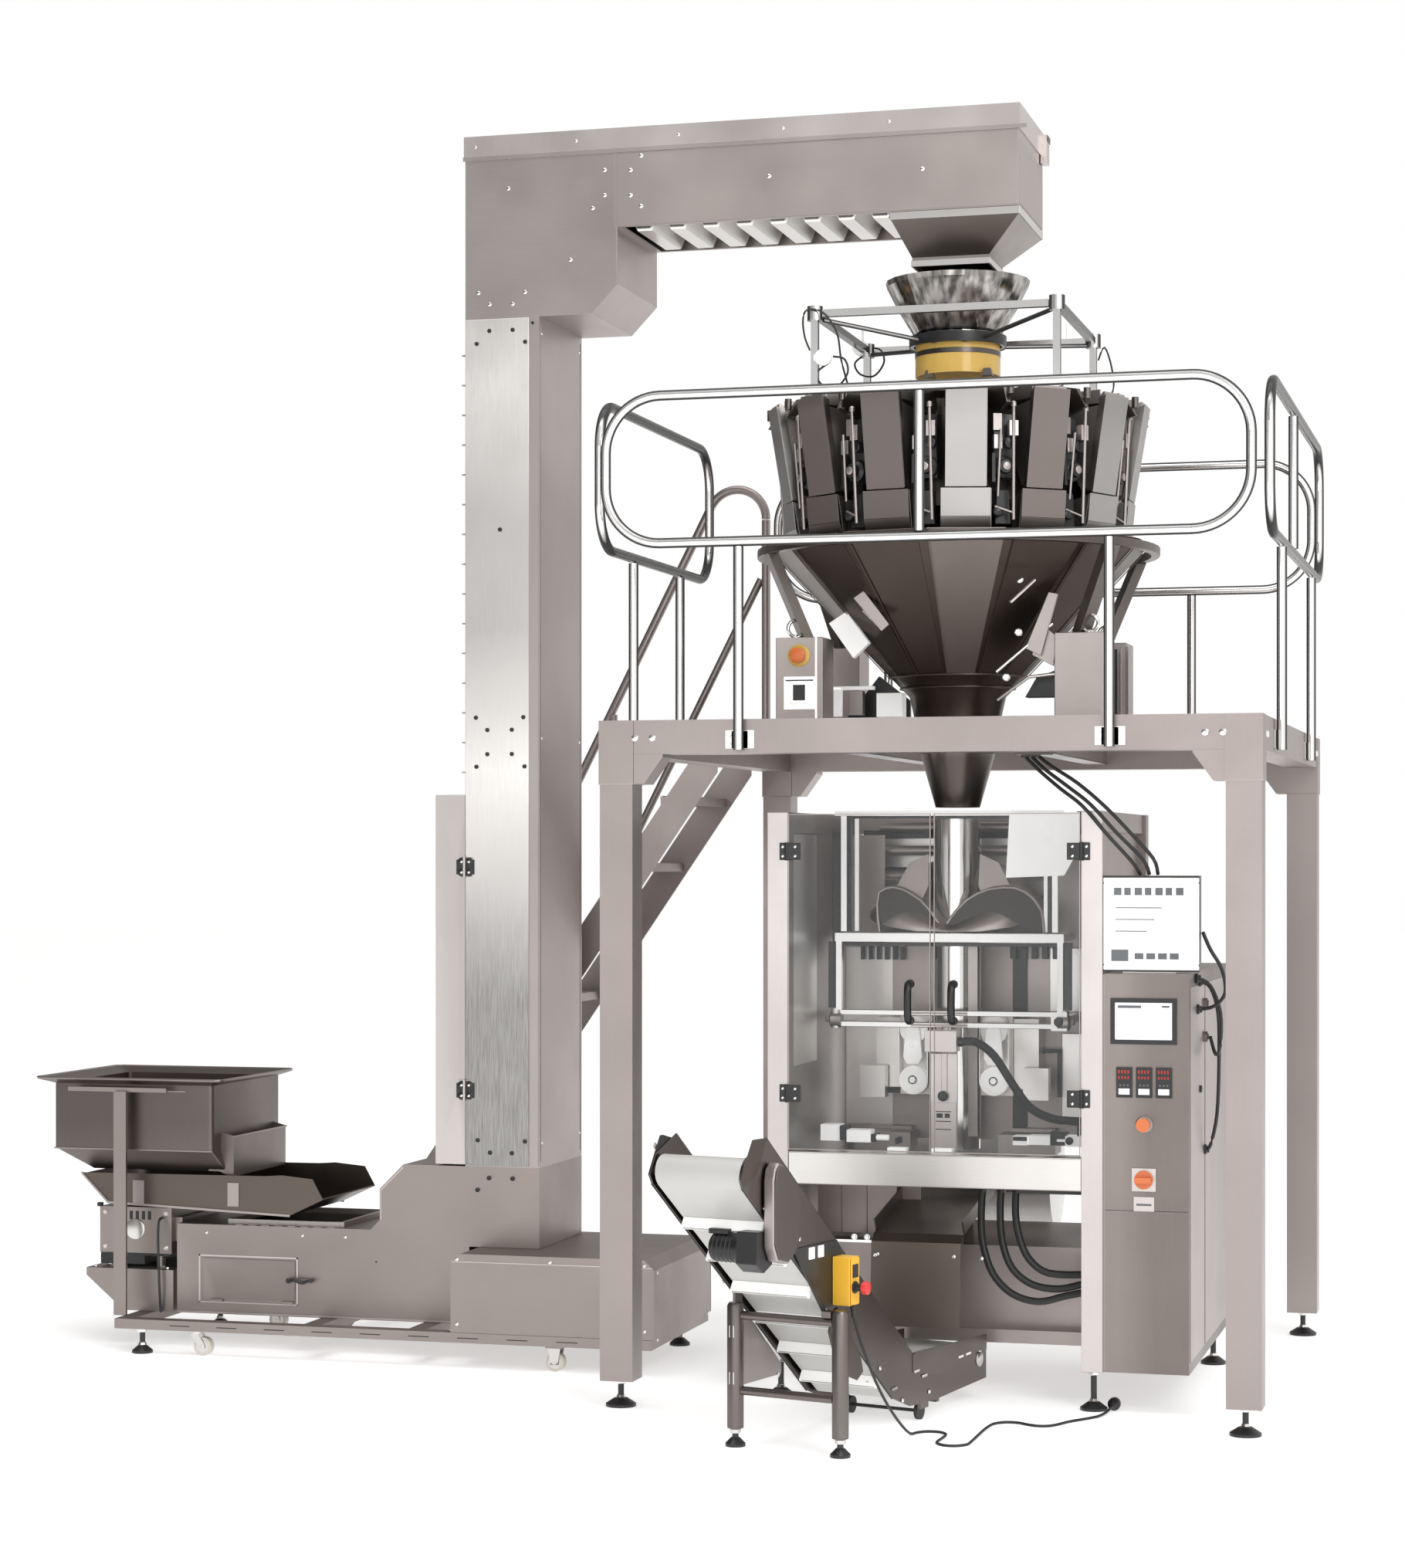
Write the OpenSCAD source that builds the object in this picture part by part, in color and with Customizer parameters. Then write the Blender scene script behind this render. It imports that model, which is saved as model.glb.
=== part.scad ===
// Packing line: bucket elevator with vibratory feeder, multihead weigher on a
// working platform, vertical bag maker with control cabinet, take-off conveyor.
// Millimetres, +Z up. The layout is measured from the front left platform leg,
// and place() moves it so that the origin is under the middle of the line.

/* [Platform] */
// Distance between the leg centres across the front
platform_w = 1826; // [1600:1:2200]
// Distance between the leg centres front to back
platform_d = 1951; // [1700:1:2400]
// Height of the top of the deck frame
platform_h = 2020; // [1900:1:2100]
// Side of the square legs and beams
leg_w = 100; // [60:1:120]
// Outer diameter of the guard rail tube
rail_d = 30; // [25:1:42]
// Height of the lower guard rail
rail_low = 2535; // [2400:1:2600]
// Height of the upper guard rail
rail_high = 2966; // [2900:1:3100]

/* [Elevator] */
// Width of the column across the front
column_w = 251; // [200:1:300]
// Depth of the column and of the arm
column_d = 450; // [380:1:500]
// Height of the elevator's lid
elevator_h = 3940; // [3900:1:4000]
// Height of the arm's underside
arm_z = 3625; // [3600:1:3650]
// Sheet thickness of the elevator housings
sheet = 3; // [2:0.5:5]

/* [Weigher] */
// Number of weigh heads
heads = 14; // [10:1:16]
// Radius of the ring of heads at its top
ring_r = 600; // [560:1:620]

/* [Bag maker] */
// Height of the uprights' top
frame_h = 1754; // [1600:1:1850]
// Width of the cabinet
cabinet_w = 250; // [200:1:300]
// Outer radius of the forming tube
tube_r = 73; // [50:1:80]

/* [Conveyor] */
// Angle of the conveyor to the front of the line
conveyor_turn = 15; // [0:1:30]
// Radius of the head drum
drum_r = 40; // [30:1:45]

/* [Hidden] */
$fn = 48;
gap = 0.3;
origin_x = -157.5;
origin_y = 483.65;
// elevator
ex0 = -736;
ex1 = ex0 + column_w;
ey0 = 700;
ey1 = ey0 + column_d;
ez = 622;
lid_z = 3861;
head_z = 3352;
arm_x0 = -223;
arm_x1 = 1066;
// weigher axis
wx = 833;
wy = 925;
// bag maker
bx0 = 380;
bx1 = 1388;
by0 = 260;
by1 = 1290;
post_w = 65;
sill_z0 = 642;
sill_z1 = 738;
cab_x0 = bx1 + gap;
cab_x1 = cab_x0 + cabinet_w;
door_z0 = 746;
door_z1 = 1748;
// conveyor, in its own frame: x across, y towards the tail
cx = 646;
cy = -571;
side_low = [[-440, 760], [415, 92], [521, 55], [684, 50], [1028, 66]];
side_top = [[1028, 192], [537, 204], [-317, 884], [-425, 838], [-455, 785]];
// stair
stair_y0 = 1280;
stair_y1 = 1740;
stair_slope = 1.455;
foot_list = [[0, 0, 79, 45], [platform_w, 0, 79, 45], [0, platform_d, 79, 45],
  [platform_w, platform_d, 79, 45], [412, 300, 115, 40], [1356, 300, 115, 40],
  [412, 1250, 115, 40], [1600, 1250, 118, 40], [-1800, 550, 80, 34], [-150, 550, 80, 34],
  [-1800, 1170, 80, 34], [-150, 1170, 80, 34]];
caster_list = [[-1608, 550], [-1608, 1170], [-380, 550], [-380, 1170]];

// ---- helpers ----

// Moves the layout so that the origin is under the middle of the line.
module place() {
  translate([-origin_x, -origin_y, 0]) children();
}

// Box between two opposite corners.
module block(a, b) {
  translate(a) cube(b - a);
}

// Outline in X and Z, from y0 to y1.
module prism_y(points, y0, y1) {
  translate([0, y1, 0]) rotate([90, 0, 0]) linear_extrude(y1 - y0) polygon(points);
}

// Outline in Y and Z, from x0 to x1.
module prism_x(points, x0, x1) {
  translate([x0, 0, 0]) rotate([90, 0, 90]) linear_extrude(x1 - x0) polygon(points);
}

// Round bar from p to q.
module rod(p, q, d) {
  v = q - p;
  translate(p) rotate([0, acos(v[2] / norm(v)), atan2(v[1], v[0])])
    cylinder(d = d, h = norm(v));
}

// Cylinder along Y.
module disc_y(c, r, y0, y1) {
  translate([c[0], y1, c[1]]) rotate([90, 0, 0]) cylinder(r = r, h = y1 - y0);
}

// Quarter bend of tube in X and Z, from angle a on.
module bend(c, r, d, a) {
  translate(c) rotate([90, 0, 0]) rotate([0, 0, a])
    rotate_extrude(angle = 90) translate([r, 0]) circle(d = d);
}

// Rounded rectangle of tube, standing in X and Z, its lower left corner at the origin.
module rail_loop(w, h, r) {
  for (s = [0, 1]) {
    rod([r + gap, 0, s * h], [w - r - gap, 0, s * h], rail_d);
    rod([s * w, 0, r + gap], [s * w, 0, h - r - gap], rail_d);
  }
  for (c = [[w - r, h - r, 0], [r, h - r, 90], [r, r, 180], [w - r, r, 270]])
    bend([c[0], 0, c[1]], r, rail_d, c[2]);
}

// Ring of revolution at (x, y) from a profile in radius and height.
module turned(x, y, profile) {
  translate([x, y, 0]) rotate_extrude() polygon(profile);
}

// Sides ring of a swept tube, at path point k.
function tube_dir(p, k) = let (n = len(p) - 1, a = p[max(k - 1, 0)], b = p[min(k + 1, n)])
  (b - a) / norm(b - a);
function tube_ring(c, t, r, n) = let (
    h = abs(t[2]) > 0.9 ? [1, 0, 0] : [0, 0, 1],
    u0 = cross(t, h),
    u = u0 / norm(u0),
    v = cross(u, t))
  [for (i = [0 : n - 1]) c + r * (cos(360 * i / n) * u + sin(360 * i / n) * v)];

// Point on a smooth curve through the route points, at t between points k and k + 1.
function curve(p, k, t) = let (n = len(p) - 1, a = p[max(k - 1, 0)], b = p[k],
    c = p[min(k + 1, n)], d = p[min(k + 2, n)])
  0.5 * ((2 * b) + (c - a) * t + (2 * a - 5 * b + 4 * c - d) * t * t
    + (3 * b - a - 3 * c + d) * t * t * t);
function smooth(p, m) = concat([for (k = [0 : len(p) - 2], j = [0 : m - 1]) curve(p, k, j / m)],
  [p[len(p) - 1]]);

// Round tube of n sides along the points of path p.
module swept(p, d, n) {
  m = len(p);
  points = [for (k = [0 : m - 1]) each tube_ring(p[k], tube_dir(p, k), d / 2, n)];
  faces = concat([[for (i = [n - 1 : -1 : 0]) i]],
    [for (k = [0 : m - 2], i = [0 : n - 1])
      [k * n + i, k * n + (i + 1) % n, (k + 1) * n + (i + 1) % n, (k + 1) * n + i]],
    [[for (i = [0 : n - 1]) (m - 1) * n + i]]);
  polyhedron(points = points, faces = faces);
}

// ---- elevator ----

module elevator_base() {
  color([0.52, 0.49, 0.48]) place() {
    for (y = [520, 1150]) block([-1886, y, 80], [-60, y + 50, 112]);
    for (x = [-1886, -1240, -880, -120]) block([x, 570 + gap, 80], [x + 60, 1150 - gap, 112]);
    block([-1922, 588, 112 + gap], [-1878, 600, 848]);
    block([-2092, 600 + gap, 846], [-1740, 612, 860]);
    prism_y([[-2075, 251], [-2075, 226], [-1940, 113], [-1760, 113], [-1760, 251]], 700, 740);
    prism_y([[-2075, 251], [-2075, 226], [-1940, 113], [-1760, 113], [-1760, 251]], 1110, 1150);
    for (c = [caster_list[2], caster_list[3]]) {
      block([c[0] - 28, c[1] - 24, 74], [c[0] + 28, c[1] + 24, 80 - gap]);
      for (s = [-1, 1])
        block([c[0] - 13, c[1] + s * 19 - 1.5, 22], [c[0] + 13, c[1] + s * 19 + 1.5, 74 - gap]);
    }
  }
}

lower_outline = [[-1746, 113], [-723, 113], [-723, 363], [ex1, 363], [ex1, ez], [-950, ez],
  [-1031, 541], [-1031, 440], [-1062, 407], [-1746, 407]];

module elevator_lower_housing() {
  color([0.55, 0.52, 0.51]) place() {
    difference() {
      prism_y(lower_outline, ey0, ey1);
      prism_y([[-1743, 116], [-726, 116], [-726, 366], [ex1 - 3, 366], [ex1 - 3, ez - 3],
        [-948, ez - 3], [-1028, 539], [-1028, 438], [-1060, 404], [-1743, 404]],
        ey0 + 3, ey1 - 3);
      block([-1560, ey0 + 40, 400], [-1180, ey1 - 40, 410]);
      block([ex0 + 4, ey0 + 4, ez - 5], [ex1 - 4, ey1 - 4, ez + 1]);
      block([-1640, ey0 - 1, 172], [-1336, ey0 + 4, 288]);
    }
    prism_y([[-722, 113], [-50, 113], [-50, 330], [-82, 362], [-690, 362], [-722, 330]], 520, 1200);
  }
}

module trough_hatch() {
  color([0.57, 0.54, 0.53]) place() {
    block([-1650, ey0 - 4, 163], [-1326, ey0 - gap, 296]);
    for (x = [-1620, -1370]) disc_x([ey0 - 6, 160], 5, x, x + 40);
    block([-1345, ey0 - 14, 228], [-1262, ey0 - 4, 240]);
    disc_y([-1340, 234], 7, ey0 - 20, ey0 - 4);
  }
}

// Cylinder along X, centred on c in Y and Z.
module disc_x(c, r, x0, x1) {
  translate([x0, c[0], c[1]]) rotate([0, 90, 0]) cylinder(r = r, h = x1 - x0);
}

module elevator_column() {
  color([0.6, 0.57, 0.56]) place() {
    difference() {
      block([ex0, ey0, ez], [ex1, ey1, head_z]);
      block([ex0 + sheet, ey0 + sheet, ez - 1], [ex1 - sheet, ey1 - sheet, head_z + 1]);
      block([ex0 - 1, ey0 + 40, 660], [ex0 + 4, ey1 - 40, 1790]);
    }
    for (k = [0 : 14]) block([ex0 - 12, ey0 + 1, 1890 + 96 * k], [ex0, ey0 + 11, 1895 + 96 * k]);
    for (z = [867, 1587]) block([ex0 + 2, ey0 - 4, z - 32], [ex0 + 26, ey0, z + 32]);
  }
}

module column_door() {
  color([0.55, 0.52, 0.51]) place() {
    difference() {
      block([ex0 - 102, ey0, 628], [ex0 - 1, ey1, 1820]);
      block([ex0 - 99, ey0 + 3, 631], [ex0, ey1 - 3, 1817]);
    }
    for (z = [867, 1587]) {
      translate([ex0 - 1, ey0 - 9, z - 34]) cylinder(r = 5, h = 68);
      block([ex0 - 26, ey0 - 6, z - 32], [ex0 - 2, ey0, z + 32]);
    }
  }
}

module elevator_head() {
  color([0.55, 0.52, 0.51]) place() difference() {
    prism_y([[ex0, head_z], [-310, head_z], [arm_x0, 3443], [arm_x0, arm_z], [arm_x1, arm_z],
      [arm_x1, lid_z], [ex0, lid_z]], ey0, ey1);
    prism_y([[ex0 + 3, head_z + 3], [-311, head_z + 3], [arm_x0 - 3, 3445],
      [arm_x0 - 3, arm_z + 3], [arm_x1 - 3, arm_z + 3], [arm_x1 - 3, lid_z - 3],
      [ex0 + 3, lid_z - 3]], ey0 + 3, ey1 - 3);
    block([ex0 + 4, ey0 + 4, head_z - 1], [ex1 - 4, ey1 - 4, head_z + 4]);
    block([arm_x0 + 20, ey0 + 14, arm_z - 1], [650, ey1 - 14, arm_z + 4]);
    block([680, ey0 + 20, arm_z - 1], [arm_x1 - 20, ey1 - 20, arm_z + 4]);
  }
}

module head_lid() {
  color([0.6, 0.57, 0.56]) place() {
    block([ex0 - 4, ey0 - 4, lid_z + gap], [arm_x1 + 4, ey1 + 4, elevator_h]);
    block([arm_x1 + 4, ey1 - 60, 3835], [arm_x1 + 24, ey1 - 10, elevator_h - 15]);
  }
}

module elevator_chute() {
  color([0.5, 0.47, 0.46]) place() {
    difference() {
      block([662, ey0 + 4, 3600], [arm_x1, ey1 - 4, arm_z - gap]);
      block([682, ey0 + 22, 3599], [arm_x1 - 20, ey1 - 22, arm_z + 1]);
    }
    difference() {
      intersection() {
        prism_y([[664, 3600 - gap], [arm_x1 - 2, 3600 - gap], [wx + 122, 3498], [wx + 122, 3470],
          [wx - 122, 3470], [wx - 122, 3498]], ey0, ey1);
        prism_x([[ey0 + 6, 3600 - gap], [ey1 - 6, 3600 - gap], [wy + 122, 3498], [wy + 122, 3470],
          [wy - 122, 3470], [wy - 122, 3498]], 600, 1100);
      }
      intersection() {
        prism_y([[668, 3602], [arm_x1 - 6, 3602], [wx + 118, 3496], [wx + 118, 3460],
          [wx - 118, 3460], [wx - 118, 3496]], ey0, ey1);
        prism_x([[ey0 + 10, 3602], [ey1 - 10, 3602], [wy + 118, 3496], [wy + 118, 3460],
          [wy - 118, 3460], [wy - 118, 3496]], 600, 1100);
      }
    }
  }
}

// One bucket: an upside down frustum, mouth up, length along Y.
module bucket(x, z) {
  intersection() {
    prism_y([[x - 52, z], [x + 52, z], [x + 24, z - 70], [x - 24, z - 70]], ey0 + 40, ey1 - 40);
    prism_x([[ey0 + 40, z], [ey1 - 40, z], [ey1 - 62, z - 70], [ey0 + 62, z - 70]],
      x - 60, x + 60);
  }
}

module bucket_chain() {
  color([0.62, 0.6, 0.58]) place() {
    for (k = [0 : 10]) bucket(-150 + 110 * k, 3690);
    for (k = [0 : 11]) bucket(-150 + 95 * k, 3820);
    for (k = [0 : 11], s = [0, 1]) bucket(ex0 + 66 + 120 * s, 900 + 210 * k);
    for (k = [0 : 7]) bucket(-1650 + 115 * k, 215);
    for (y = [ey0 + 18, ey1 - 26]) {
      block([-600, y, 560], [-590, y + 8, 3700]);
      block([-640, y, 3720], [1020, y + 8, 3730]);
      block([-1690, y, 260], [-800, y + 8, 270]);
    }
  }
}

module gearmotor() {
  color([0.45, 0.46, 0.48]) place() {
    block([-500, ey1 + gap, 3560], [-380, ey1 + 110, 3700]);
    disc_y([-440, 3630], 62, ey1 + 110 + gap, ey1 + 290);
    disc_y([-440, 3630], 70, ey1 + 290 + gap, ey1 + 330);
    block([-372, ey1 + 150, 3600], [-360, ey1 + 230, 3660]);
  }
}

// Swivel fork of a caster, trailing its wheel.
module fork_at(c) {
  color([0.5, 0.5, 0.5]) place() translate([c[0], c[1], 0]) {
    translate([0, 0, 70]) cylinder(r = 22, h = 10 - gap);
    for (s = [-1, 1])
      prism_y([[-14, 70 - gap], [16, 70 - gap], [36, 36], [36, 24], [20, 24]],
        s * 19 - 1.5, s * 19 + 1.5);
  }
}

module caster_fork_front() {
  fork_at(caster_list[0]);
}

module caster_fork_back() {
  fork_at(caster_list[1]);
}

module wheel_at(c, trail) {
  color([0.75, 0.72, 0.68]) place()
    translate([c[0] + trail, c[1], 30]) {
      disc_y([0, 0], 30, -14, 14);
      disc_y([0, 0], 7, -17, 17);
    }
}

module caster_wheel_1() {
  wheel_at(caster_list[0], 26);
}

module caster_wheel_2() {
  wheel_at(caster_list[1], 26);
}

module caster_wheel_3() {
  wheel_at(caster_list[2], 0);
}

module caster_wheel_4() {
  wheel_at(caster_list[3], 0);
}

// ---- feeder ----

hop_x0 = -2225;
hop_x1 = -1549;
hop_y0 = 613;
hop_y1 = 1237;

module feeder_hopper() {
  color([0.5, 0.47, 0.46]) place() {
    difference() {
      intersection() {
        prism_y([[-2165, 868], [-2165, 653], [-2060, 580], [-1560, 580], [-1595, 653],
          [-1595, 868]], 600, 1250);
        prism_x([[645, 868], [645, 653], [720, 580], [1130, 580], [1205, 653], [1205, 868]],
          -2200, -1500);
      }
      intersection() {
        prism_y([[-2162, 870], [-2162, 654], [-2058, 579], [-1564, 579], [-1598, 654],
          [-1598, 870]], 600, 1250);
        prism_x([[648, 870], [648, 654], [722, 579], [1128, 579], [1202, 654], [1202, 870]],
          -2200, -1500);
      }
    }
    difference() {
      block([hop_x0, hop_y0, 868 + gap], [hop_x1, hop_y1, 890]);
      intersection() {
        prism_y([[-2162, 867], [-2218, 892], [hop_x1 - 7, 892], [-1598, 867]], 600, 1250);
        prism_x([[648, 867], [620, 892], [1230, 892], [1202, 867]], -2230, -1500);
      }
    }
    prism_y([[-1594, 700], [-1545, 675], [-1420, 711], [-1412, 705], [-1440, 600],
      [-1558, 592]], 700, 704);
    prism_y([[-1594, 700], [-1545, 675], [-1420, 711], [-1412, 705], [-1440, 600],
      [-1558, 592]], 1146, 1150);
    prism_y([[-1590, 706], [-1545, 681], [-1420, 715], [-1412, 708], [-1420, 706],
      [-1545, 675]], 704 + gap, 1146 - gap);
  }
}

module feeder_tray() {
  color([0.5, 0.47, 0.46]) place() {
    for (y = [690, 1156])
      prism_y([[-2086, 568], [-1990, 472], [-1340, 446], [-1225, 500], [-1262, 566],
        [-1370, 576], [-1430, 572]], y, y + 4);
    prism_y([[-2080, 566], [-1988, 476], [-1340, 450], [-1340, 446], [-1990, 472],
      [-2086, 562]], 694, 1156);
    prism_y([[-1340, 450], [-1340, 446], [-1225, 500], [-1227, 504]], 694, 1156);
    block([-1960, 760, 454 + gap], [-1700, 1090, 466]);
  }
}

module feeder_drive() {
  color([0.45, 0.42, 0.42]) place() {
    block([-2040, 730, 300], [-1780, 1120, 453]);
    block([-1780 + gap, 760, 340], [-1755, 1090, 420]);
    for (x = [-2010, -1830], y = [760, 1090]) translate([x, y, 252 + gap]) {
      cylinder(r = 14, h = 48 - 2 * gap);
    }
    block([-2070, 705, 252], [-1765, 1145, 252 + gap - 0.1]);
  }
}

// ---- platform ----

module platform_frame() {
  w = platform_w;
  d = platform_d;
  h = leg_w / 2;
  top = platform_h;
  color([0.55, 0.52, 0.51]) place() {
    for (x = [0, w], y = [0, d]) {
      block([x - h, y - h, 79], [x + h, y + h, 1833 - gap]);
      block([x - h - 3, y - h - 3, 1833], [x + h + 3, y + h + 3, top]);
    }
    for (y = [0, d]) block([h + 3 + gap, y - h, top - 100], [w - h - 3 - gap, y + h, top]);
    for (x = [0, w]) block([x - h, h + 3 + gap, top - 100], [x + h, d - h - 3 - gap, top]);
    for (y = [0, d]) {
      prism_y([[h + 3 + gap, 1833], [85, 1833], [142, 1912], [142, 1919.7], [h + 3 + gap, 1919.7]],
        y - h, y + h);
      prism_y([[w - h - 3 - gap, 1833], [w - 85, 1833], [w - 142, 1912], [w - 142, 1919.7],
        [w - h - 3 - gap, 1919.7]], y - h, y + h);
    }
    for (x = [560, 1106]) block([x, h + gap, top - 80], [x + 60, d - h - gap, top - 8]);
  }
}

module platform_deck() {
  h = leg_w / 2 + gap;
  color([0.5, 0.48, 0.47]) place() difference() {
    block([h, h, platform_h - 7], [platform_w - h, platform_d - h, platform_h]);
    block([wx - 170, wy - 170, platform_h - 9], [wx + 170, wy + 170, platform_h + 1]);
    for (x = [0, platform_w], y = [0, platform_d])
      block([x - 54, y - 54, platform_h - 9], [x + 54, y + 54, platform_h + 1]);
  }
}

module guardrails() {
  w = platform_w;
  d = platform_d;
  h = rail_high - rail_low;
  r = rail_d / 2;
  out = leg_w / 2 + r + 4;
  color([0.6, 0.58, 0.56]) place() {
    translate([-26, -out, rail_low]) rail_loop(w + 49, h, 165);
    rod([909, -out, rail_low + r + 0.5], [909, -out, rail_high - r - 0.5], rail_d);
    for (x = [376, 1453]) {
      rod([x, -out, 1930], [x, -out, rail_low - r - 0.5], rail_d);
      block([x - 24, -out + r, 1935], [x + 24, -leg_w / 2 - gap, 1985]);
    }
    translate([-26, d + out, rail_low]) rail_loop(w + 49, h, 165);
    rod([909, d + out, rail_low + r + 0.5], [909, d + out, rail_high - r - 0.5], rail_d);
    for (x = [376, 1442]) {
      rod([x, d + out, 1930], [x, d + out, rail_low - r - 0.5], rail_d);
      block([x - 24, d + leg_w / 2 + gap, 1935], [x + 24, d + out - r, 1985]);
    }
    translate([-out, 10, rail_low]) rotate([0, 0, 90]) rail_loop(1238, h, 130);
    for (y = [361, 886]) {
      rod([-out, y, 1930], [-out, y, rail_low - r - 0.5], rail_d);
      block([-out + r, y - 24, 1935], [-leg_w / 2 - gap, y + 24, 1985]);
    }
    translate([w + out, -20, rail_low]) rotate([0, 0, 90]) rail_loop(1780, h, 130);
    rod([w + out, 750, rail_low + r + 0.5], [w + out, 750, rail_high - r - 0.5], rail_d);
    for (y = [358, 1424]) {
      rod([w + out, y, 1930], [w + out, y, rail_low - r - 0.5], rail_d);
      block([w + leg_w / 2 + gap, y - 24, 1935], [w + out - r, y + 24, 1985]);
    }
  }
}

module stairs() {
  top_x = -leg_w / 2 - 1;
  low_x = -45 - 1912 / stair_slope;
  lift = 190;
  color([0.55, 0.52, 0.51]) place() {
    for (y = [stair_y0, stair_y1 - 6])
      prism_y([[low_x, 0], [top_x, 1903], [top_x, 2020], [top_x - 40, 2020],
        [low_x - lift / stair_slope, 0]], y, y + 6);
    for (k = [1 : 8]) {
      z = 225 * k;
      x = -45 - (1912 - z) / stair_slope;
      block([x - 128, stair_y0 + 6 + gap, z - 6], [x - 18, stair_y1 - 6 - gap, z + 22]);
    }
    block([-24, 1752, 2020 + gap], [6, 1764, 2090]);
    rod([-9, 1780, 2021], [-9, 1780, 2796], rail_d);
    bend([-114, 1780, 2800], 105, rail_d, 0);
    translate([-114, 1780, 2800]) rotate([90, 0, 0]) rotate([0, 0, 90])
      rotate_extrude(angle = 63) translate([105, 0]) circle(d = rail_d);
    rod([-208, 1780, 2846], [-1072, 1780, 1152], rail_d);
    rod([-27, 1780, 2590], [-1000, 1780, 680], 26);
    for (x = [-1000, -560]) {
      z = 2846 + (x + 208) * 1.96;
      zs = 1912 + (x + 45) * stair_slope + 90;
      rod([x, 1765, zs], [x, 1765, z - 34], 26);
    }
  }
}

// ---- weigher ----

pedestals = [[-435, -260], [435, -260], [-435, 260], [435, 260]];

module weigher_body() {
  color([0.55, 0.53, 0.52]) place() translate([wx, wy, 0]) {
    for (p = pedestals) {
      block([p[0] - 75, p[1] - 75, platform_h + gap], [p[0] + 75, p[1] + 75, 2300]);
      a = atan2(p[1], p[0]);
      rotate([0, 0, a]) prism_y([[480, 2301], [540, 2301], [668, 2560], [618, 2560]], -30, 30);
    }
    rotate_extrude() polygon([[606, 2560 + gap], [672, 2560 + gap], [672, 2592], [606, 2592]]);
    rotate_extrude() polygon([[0, 2640], [250, 2640], [300, 2700], [300, 3030], [380, 3040],
      [380, 3052], [0, 3052]]);
    rotate_extrude() polygon([[0, 3053], [290, 3053], [290, 3062], [60, 3118], [0, 3122]]);
    for (a = [0 : 90 : 270]) rotate([0, 0, a + 45])
      block([384, -18, 3040], [556, 18, 3060]);
    for (a = [0 : 90 : 270]) rotate([0, 0, a + 38]) rod([625, 0, 2593], [625, 0, 3010], 24);
  }
}

// Box under one head: an outline in radius and height, w wide.
module head_piece(points, w) {
  prism_y(points, -w / 2, w / 2);
}

module each_head() {
  place() translate([wx, wy, 0])
    for (k = [0 : heads - 1]) rotate([0, 0, -76.8 + 360 / heads * k]) children();
}

module feed_hoppers() {
  color([0.55, 0.53, 0.52]) each_head() {
    head_piece([[400, 2985], [590, 3000], [549, 2738], [500, 2738], [430, 2850]], 104);
    head_piece([[590.5, 3014], [596, 3022], [600, 3022], [551, 2728], [546, 2728]], 125);
  }
}

module weigh_hoppers() {
  color([0.58, 0.56, 0.55]) each_head()
    head_piece([[425, 2700], [525, 2724], [548, 2724], [526, 2604], [470, 2604], [430, 2660]], 148);
}

module collecting_chute() {
  color([0.4, 0.37, 0.35]) place()
    turned(wx, wy, [[598, 2600], [602, 2600], [152, 2124], [124, 2000], [124, platform_h - 20],
      [120, platform_h - 20], [120, 2000], [148, 2126]]);
}

module discharge_funnel() {
  color([0.2, 0.19, 0.19]) place()
    turned(wx, wy, [[114, 1999], [118, 1999], [118, 1945], [70, 1776], [66, 1776], [114, 1946]]);
}

module infeed_funnel() {
  color([0.25, 0.24, 0.24]) place()
    turned(wx, wy, [[228, 3436], [232, 3436], [138, 3266], [138, 3252], [134, 3252], [134, 3268]]);
}

module infeed_sleeve() {
  color([0.85, 0.6, 0.12, 0.7]) place()
    turned(wx, wy, [[130, 3251], [134, 3251], [134, 3135], [130, 3135]]);
}

module sensor_frame() {
  s = 375;
  color([0.7, 0.68, 0.66]) place() translate([wx, wy, 0]) {
    for (x = [-s, s], y = [-s, s]) {
      block([x - 11, y - 11, 3061], [x + 11, y + 11, 3270]);
      translate([x, y, 3270 + gap]) cylinder(r = 24, h = 44);
    }
    for (t = [-s, s]) {
      block([-s + 25, t - 11, 3281], [s - 25, t + 11, 3303]);
      block([t - 11, -s + 25, 3281], [t + 11, s - 25, 3303]);
    }
    for (a = [45 : 90 : 315]) rotate([0, 0, a]) rod([152, 0, 3244], [500, 0, 3276], 14);
    rotate_extrude() polygon([[139, 3230], [150, 3230], [150, 3248], [139, 3248]]);
  }
}

// ---- bag maker ----

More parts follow.
